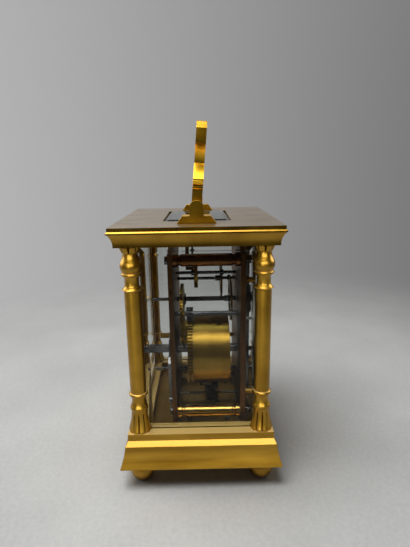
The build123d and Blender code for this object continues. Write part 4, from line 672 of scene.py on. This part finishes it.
columns = []
for node, axis in COLUMN_AXES.items():
    outline = turned_outline(node, axis, COLUMN_FOOT, COLUMN_TOP)
    work = bmesh.new()
    lathe(work, axis, with_fine_rows(outline, CARVED_ZONES))
    mesh = bpy.data.meshes.new(node + "_turned")
    work.to_mesh(mesh)
    work.free()
    centre = (axis[0] * MM, axis[1] * MM, 0.0)
    mesh = settled_mesh(
        node + "_carved", mesh,
        from_tree(leaf_carving, axis=centre, finish=gilt_case, **BELL_LEAVES),
        from_tree(leaf_carving, axis=centre, finish=gilt_case, **CROWN_LEAVES),
    )
    soften(mesh, LEAF_LIMIT)
    columns.append(finished(node + "_carved", mesh, node))
    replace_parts(columns[-1], node)


# Slotted screws

def screw_points(name, places):
    """A mesh of loose points, each storing the direction in which a screw's head looks."""
    mesh = bpy.data.meshes.new(name)
    mesh.from_pydata([tuple(c * MM for c in place) for place, heading in places], [], [])
    stored = mesh.attributes.new("heading", "FLOAT_VECTOR", "POINT")
    stored.data.foreach_set("vector", [c for place, heading in places for c in heading])
    return mesh


slotted_screw = slotted_screw_tree()
SCREW = dict(
    head_radius=2.3 * MM, head_height=1.7 * MM, slot_width=0.55 * MM, slot_depth=0.7 * MM,
    shank_radius=1.2 * MM, shank_length=4.0 * MM,
)
DOWN = (0.0, 0.0, -1.0)
PILLAR_SIDES, PILLAR_LEVELS = (-27.0, 27.0), (31.6, 118.6)
PLATE_FACES = ((15.5, 1.0), (-24.7, -1.0))  # each plate's outer face, and the way it looks along y
FLOOR_UNDERSIDE, FLOOR_ROWS = reach("base_floor", 2, min), (6.0, -15.0)
BRACKET_SIDES, BRACKET_ROWS, CORNICE_SEAT = (-34.5, 34.5), (-4.5, 4.5), 134.2
plate_screws = [
    ((x, y, z), (0.0, facing, 0.0))
    for x in PILLAR_SIDES for z in PILLAR_LEVELS for y, facing in PLATE_FACES
]
floor_screws = [((x, y, FLOOR_UNDERSIDE), DOWN) for x in PILLAR_SIDES for y in FLOOR_ROWS]
cornice_screws = [((x, y, CORNICE_SEAT), DOWN) for x in BRACKET_SIDES for y in BRACKET_ROWS]
for node, places, seed in (
    ("movement_screws", plate_screws + floor_screws, 4),
    ("bracket_screws", cornice_screws, 9),
):
    mesh = settled_mesh(
        node + "_slotted", screw_points(node + "_points", places),
        from_tree(slotted_screw, seed=seed, finish=FINISH[slot_of[node]], **SCREW),
    )
    soften(mesh, SCREW_LIMIT)
    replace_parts(finished(node + "_slotted", mesh, node), node)


# Dial marks: numerals drawn as strokes, and their tracks

STEM, HAIR, TALL = 0.95, 0.34, 5.2
LETTERS = {
    "I": (1.75, (
        ((0.4, 0), (0.4 + STEM, 0), (0.4 + STEM, TALL), (0.4, TALL)),
        ((0, 0), (1.75, 0), (1.75, HAIR), (0, HAIR)),
        ((0, TALL - HAIR), (1.75, TALL - HAIR), (1.75, TALL), (0, TALL)),
    )),
    "V": (4.0, (
        ((1.85, 0), (2.25, 0), (1.45, TALL), (0.4, TALL)),
        ((1.9, 0), (2.2, 0), (3.6, TALL), (3.2, TALL)),
        ((0, TALL - HAIR), (1.9, TALL - HAIR), (1.9, TALL), (0, TALL)),
        ((2.8, TALL - HAIR), (4.0, TALL - HAIR), (4.0, TALL), (2.8, TALL)),
    )),
    "X": (4.0, (
        ((2.6, 0), (3.65, 0), (1.4, TALL), (0.35, TALL)),
        ((0.4, 0), (0.8, 0), (3.6, TALL), (3.2, TALL)),
        ((0, 0), (1.2, 0), (1.2, HAIR), (0, HAIR)),
        ((2.3, 0), (4.0, 0), (4.0, HAIR), (2.3, HAIR)),
        ((0, TALL - HAIR), (1.7, TALL - HAIR), (1.7, TALL), (0, TALL)),
        ((2.8, TALL - HAIR), (4.0, TALL - HAIR), (4.0, TALL), (2.8, TALL)),
    )),
}
HOURS = ("XII", "I", "II", "III", "IIII", "V", "VI", "VII", "VIII", "IX", "X", "XI")
LETTER_GAP = 0.12
DIAL_FACE, MARK_LIFT = reach("dial", 1, min), 0.06
DIALS = (
    # node, centre, foot of its numerals, their scale, and its track
    ("dial", (0.0, 89.2), 17.6, 1.0,
     dict(strokes=60, every=5, inner=23.9, outer=25.3, line=0.16, broad=0.42)),
    ("alarm_dial", (0.0, 44.1), 5.6, 0.46,
     dict(strokes=48, every=4, inner=8.5, outer=9.4, line=0.12, broad=0.3)),
)


def numeral_strokes(word, hour, foot, scale):
    """The strokes of one numeral, its foot towards the dial's centre, as points about that centre."""
    width = sum(LETTERS[letter][0] + LETTER_GAP for letter in word) - LETTER_GAP
    turn = radians(30.0 * hour)
    start = -width / 2
    for letter in word:
        for stroke in LETTERS[letter][1]:
            points = [((start + u) * scale, foot + v * scale) for u, v in stroke]
            yield [(a * cos(turn) + b * sin(turn), b * cos(turn) - a * sin(turn)) for a, b in points]
        start += LETTERS[letter][0] + LETTER_GAP


def raised_marks(name, centre, strokes):
    """Flat marks standing just proud of a dial's face."""
    work = bmesh.new()
    for stroke in strokes:
        front, back = (
            [work.verts.new(((centre[0] + a) * MM, y * MM, (centre[1] + b) * MM)) for a, b in stroke]
            for y in (DIAL_FACE - MARK_LIFT, DIAL_FACE + MARK_LIFT)
        )
        work.faces.new(front)
        work.faces.new(back)
        for k in range(len(stroke)):
            nxt = (k + 1) % len(stroke)
            work.faces.new((front[k], front[nxt], back[nxt], back[k]))
    bmesh.ops.recalc_face_normals(work, faces=work.faces)
    mesh = bpy.data.meshes.new(name)
    work.to_mesh(mesh)
    work.free()
    mesh.materials.append(black_enamel)
    return mesh


hour_track = hour_track_tree()
for node, centre, foot, scale, track in DIALS:
    strokes = [
        stroke for hour, word in enumerate(HOURS) for stroke in numeral_strokes(word, hour, foot, scale)
    ]
    finished(node + "_numerals", raised_marks(node + "_numerals", centre, strokes), node)
    sizes = {key: value * MM if isinstance(value, float) else value for key, value in track.items()}
    mesh = settled_mesh(
        node + "_track", bpy.data.meshes.new(node + "_track_start"),
        from_tree(
            hour_track, centre=(centre[0] * MM, DIAL_FACE * MM, centre[1] * MM),
            lift=2 * MARK_LIFT * MM, finish=black_enamel, **sizes,
        ),
    )
    finished(node + "_track", mesh, node)


# Every other node. The edges that show are broken, by a round's width and from an angle in degrees.

EDGES = {
    "base_plinth": (0.5, 8.0),
    "cornice": (0.22, 9.0),
    "door_frame": (0.3, 30.0),
    "handle_bracket_left": (0.3, 24.0),
    "handle_bracket_right": (0.3, 24.0),
    "handle": (0.8, 16.0),
    "back_plate": (0.15, 30.0),
    "front_plate": (0.15, 30.0),
    "dial_mask": (0.1, 30.0),
}
OWN_FINISH = {
    "base_plinth": gilt_plinth,
    "cornice": gilt_cornice,
    "feet": gilt_cast,
    "handle": gilt_handle,
    "handle_bracket_left": gilt_handle,
    "handle_bracket_right": gilt_handle,
    "pillars": pillar_gilt,
    "top_glass": top_glass,
}
MADE_ABOVE = {*COLUMN_AXES, "movement_screws", "bracket_screws"}

worked = {}
for node in nodes:
    finish = OWN_FINISH.get(node, FINISH[slot_of[node]])
    if slot_of[node] == "clear_glass":
        nodes[node].data.materials.clear()
        nodes[node].data.materials.append(finish)
    elif node not in MADE_ABOVE:
        worked[node] = machined(node, finish, *EDGES.get(node, ()))


# Table, light and camera, in metres

bpy.ops.mesh.primitive_circle_add(vertices=96, radius=3.0, fill_type="NGON", location=(0, 0, 0))
table = bpy.context.object
table.name = "table"
table.data.materials.append(table_top("pale_table"))


def softbox(name, place, target, size, power, pieces=(), state="INCLUDE"):
    """A soft lamp aimed at a target, which may fall on some pieces alone or leave some out."""
    lamp = bpy.data.lights.new(name, "AREA")
    lamp.shape = "RECTANGLE"
    lamp.size, lamp.size_y = size
    lamp.energy = power
    holder = bpy.data.objects.new(name, lamp)
    holder.location = place
    holder.rotation_euler = (Vector(target) - Vector(place)).to_track_quat("-Z", "Y").to_euler()
    bpy.context.scene.collection.objects.link(holder)
    if pieces:
        chosen = bpy.data.collections.new(name + "_pieces")
        for piece in pieces:
            chosen.objects.link(piece)
        for entry in chosen.collection_objects:
            entry.light_linking.link_state = state
        holder.light_linking.receiver_collection = chosen


softbox("overhead_box", (-0.12, 0.2, 0.9), (-0.05, 0, 0.05), (0.5, 0.6), 7.5)
softbox("left_window", (-0.1, 0.95, 0.55), (0, 0, 0.08), (0.5, 0.6), 1.0)
softbox("front_box", (-0.52, 0.0, 0.92), (0, 0, 0.08), (0.6, 0.4), 4.0, [table], "EXCLUDE")
softbox("dial_box", (0.22, -0.95, 0.5), (0, 0, 0.08), (0.7, 0.5), 5.0, [table], "EXCLUDE")
softbox("door_box", (0.35, 0.95, 0.45), (0, 0, 0.08), (0.7, 0.5), 4.0, [table], "EXCLUDE")
softbox("shaft_strip", (-0.75, 0.2, 0.13), (0, 0, 0.08), (0.06, 0.24), 0.6, columns)
softbox(
    "plinth_strip", (-2.4, 0.1, 0.9), (0, 0, 0.03), (3.0, 0.5), 46.0,
    [worked["base_plinth"], *columns],
)

# A grey room, paler on the left of the photo than on the right, and dark behind the camera
world = bpy.data.worlds.new("grey_room")
bpy.context.scene.world = world
world.use_nodes = True
sky = world.node_tree
heading = add_node(sky, "ShaderNodeTexCoord").outputs["Generated"]
aim = add_node(sky, "ShaderNodeSeparateXYZ", Vector=heading).outputs
leftward = ramp(sky, calc(sky, "MULTIPLY_ADD", aim["Y"], 0.5, 0.5), (0.26, 0.19), (0.74, 0.46))
room = mix(sky, eased(sky, aim["X"], -0.5, 0.5), (0.045, 0.045, 0.045), leftward)
wire(sky, room, sky.nodes["Background"].inputs["Color"])
sky.nodes["Background"].inputs["Strength"].default_value = 1.0

CAMERA_PLACE = (-0.23533, -0.00193, 0.16334)
YAW, PITCH, ROLL = radians(-0.48), radians(14.05), radians(-0.95)
ahead = Vector((cos(PITCH) * cos(YAW), cos(PITCH) * sin(YAW), -sin(PITCH)))
level = ahead.cross(Vector((0, 0, 1))).normalized()
upward = level.cross(ahead)
across = cos(ROLL) * level + sin(ROLL) * upward
upright = cos(ROLL) * upward - sin(ROLL) * level
lens = bpy.data.cameras.new("photo_camera")
lens.lens = 27.08
lens.sensor_width = 36.0
lens.clip_start = 0.01
camera = bpy.data.objects.new("photo_camera", lens)
camera.matrix_world = Matrix.Translation(CAMERA_PLACE) @ Matrix(
    (across, upright, -ahead)
).transposed().to_4x4()
bpy.context.scene.collection.objects.link(camera)
bpy.context.scene.camera = camera
bpy.context.scene.view_settings.view_transform = "Standard"
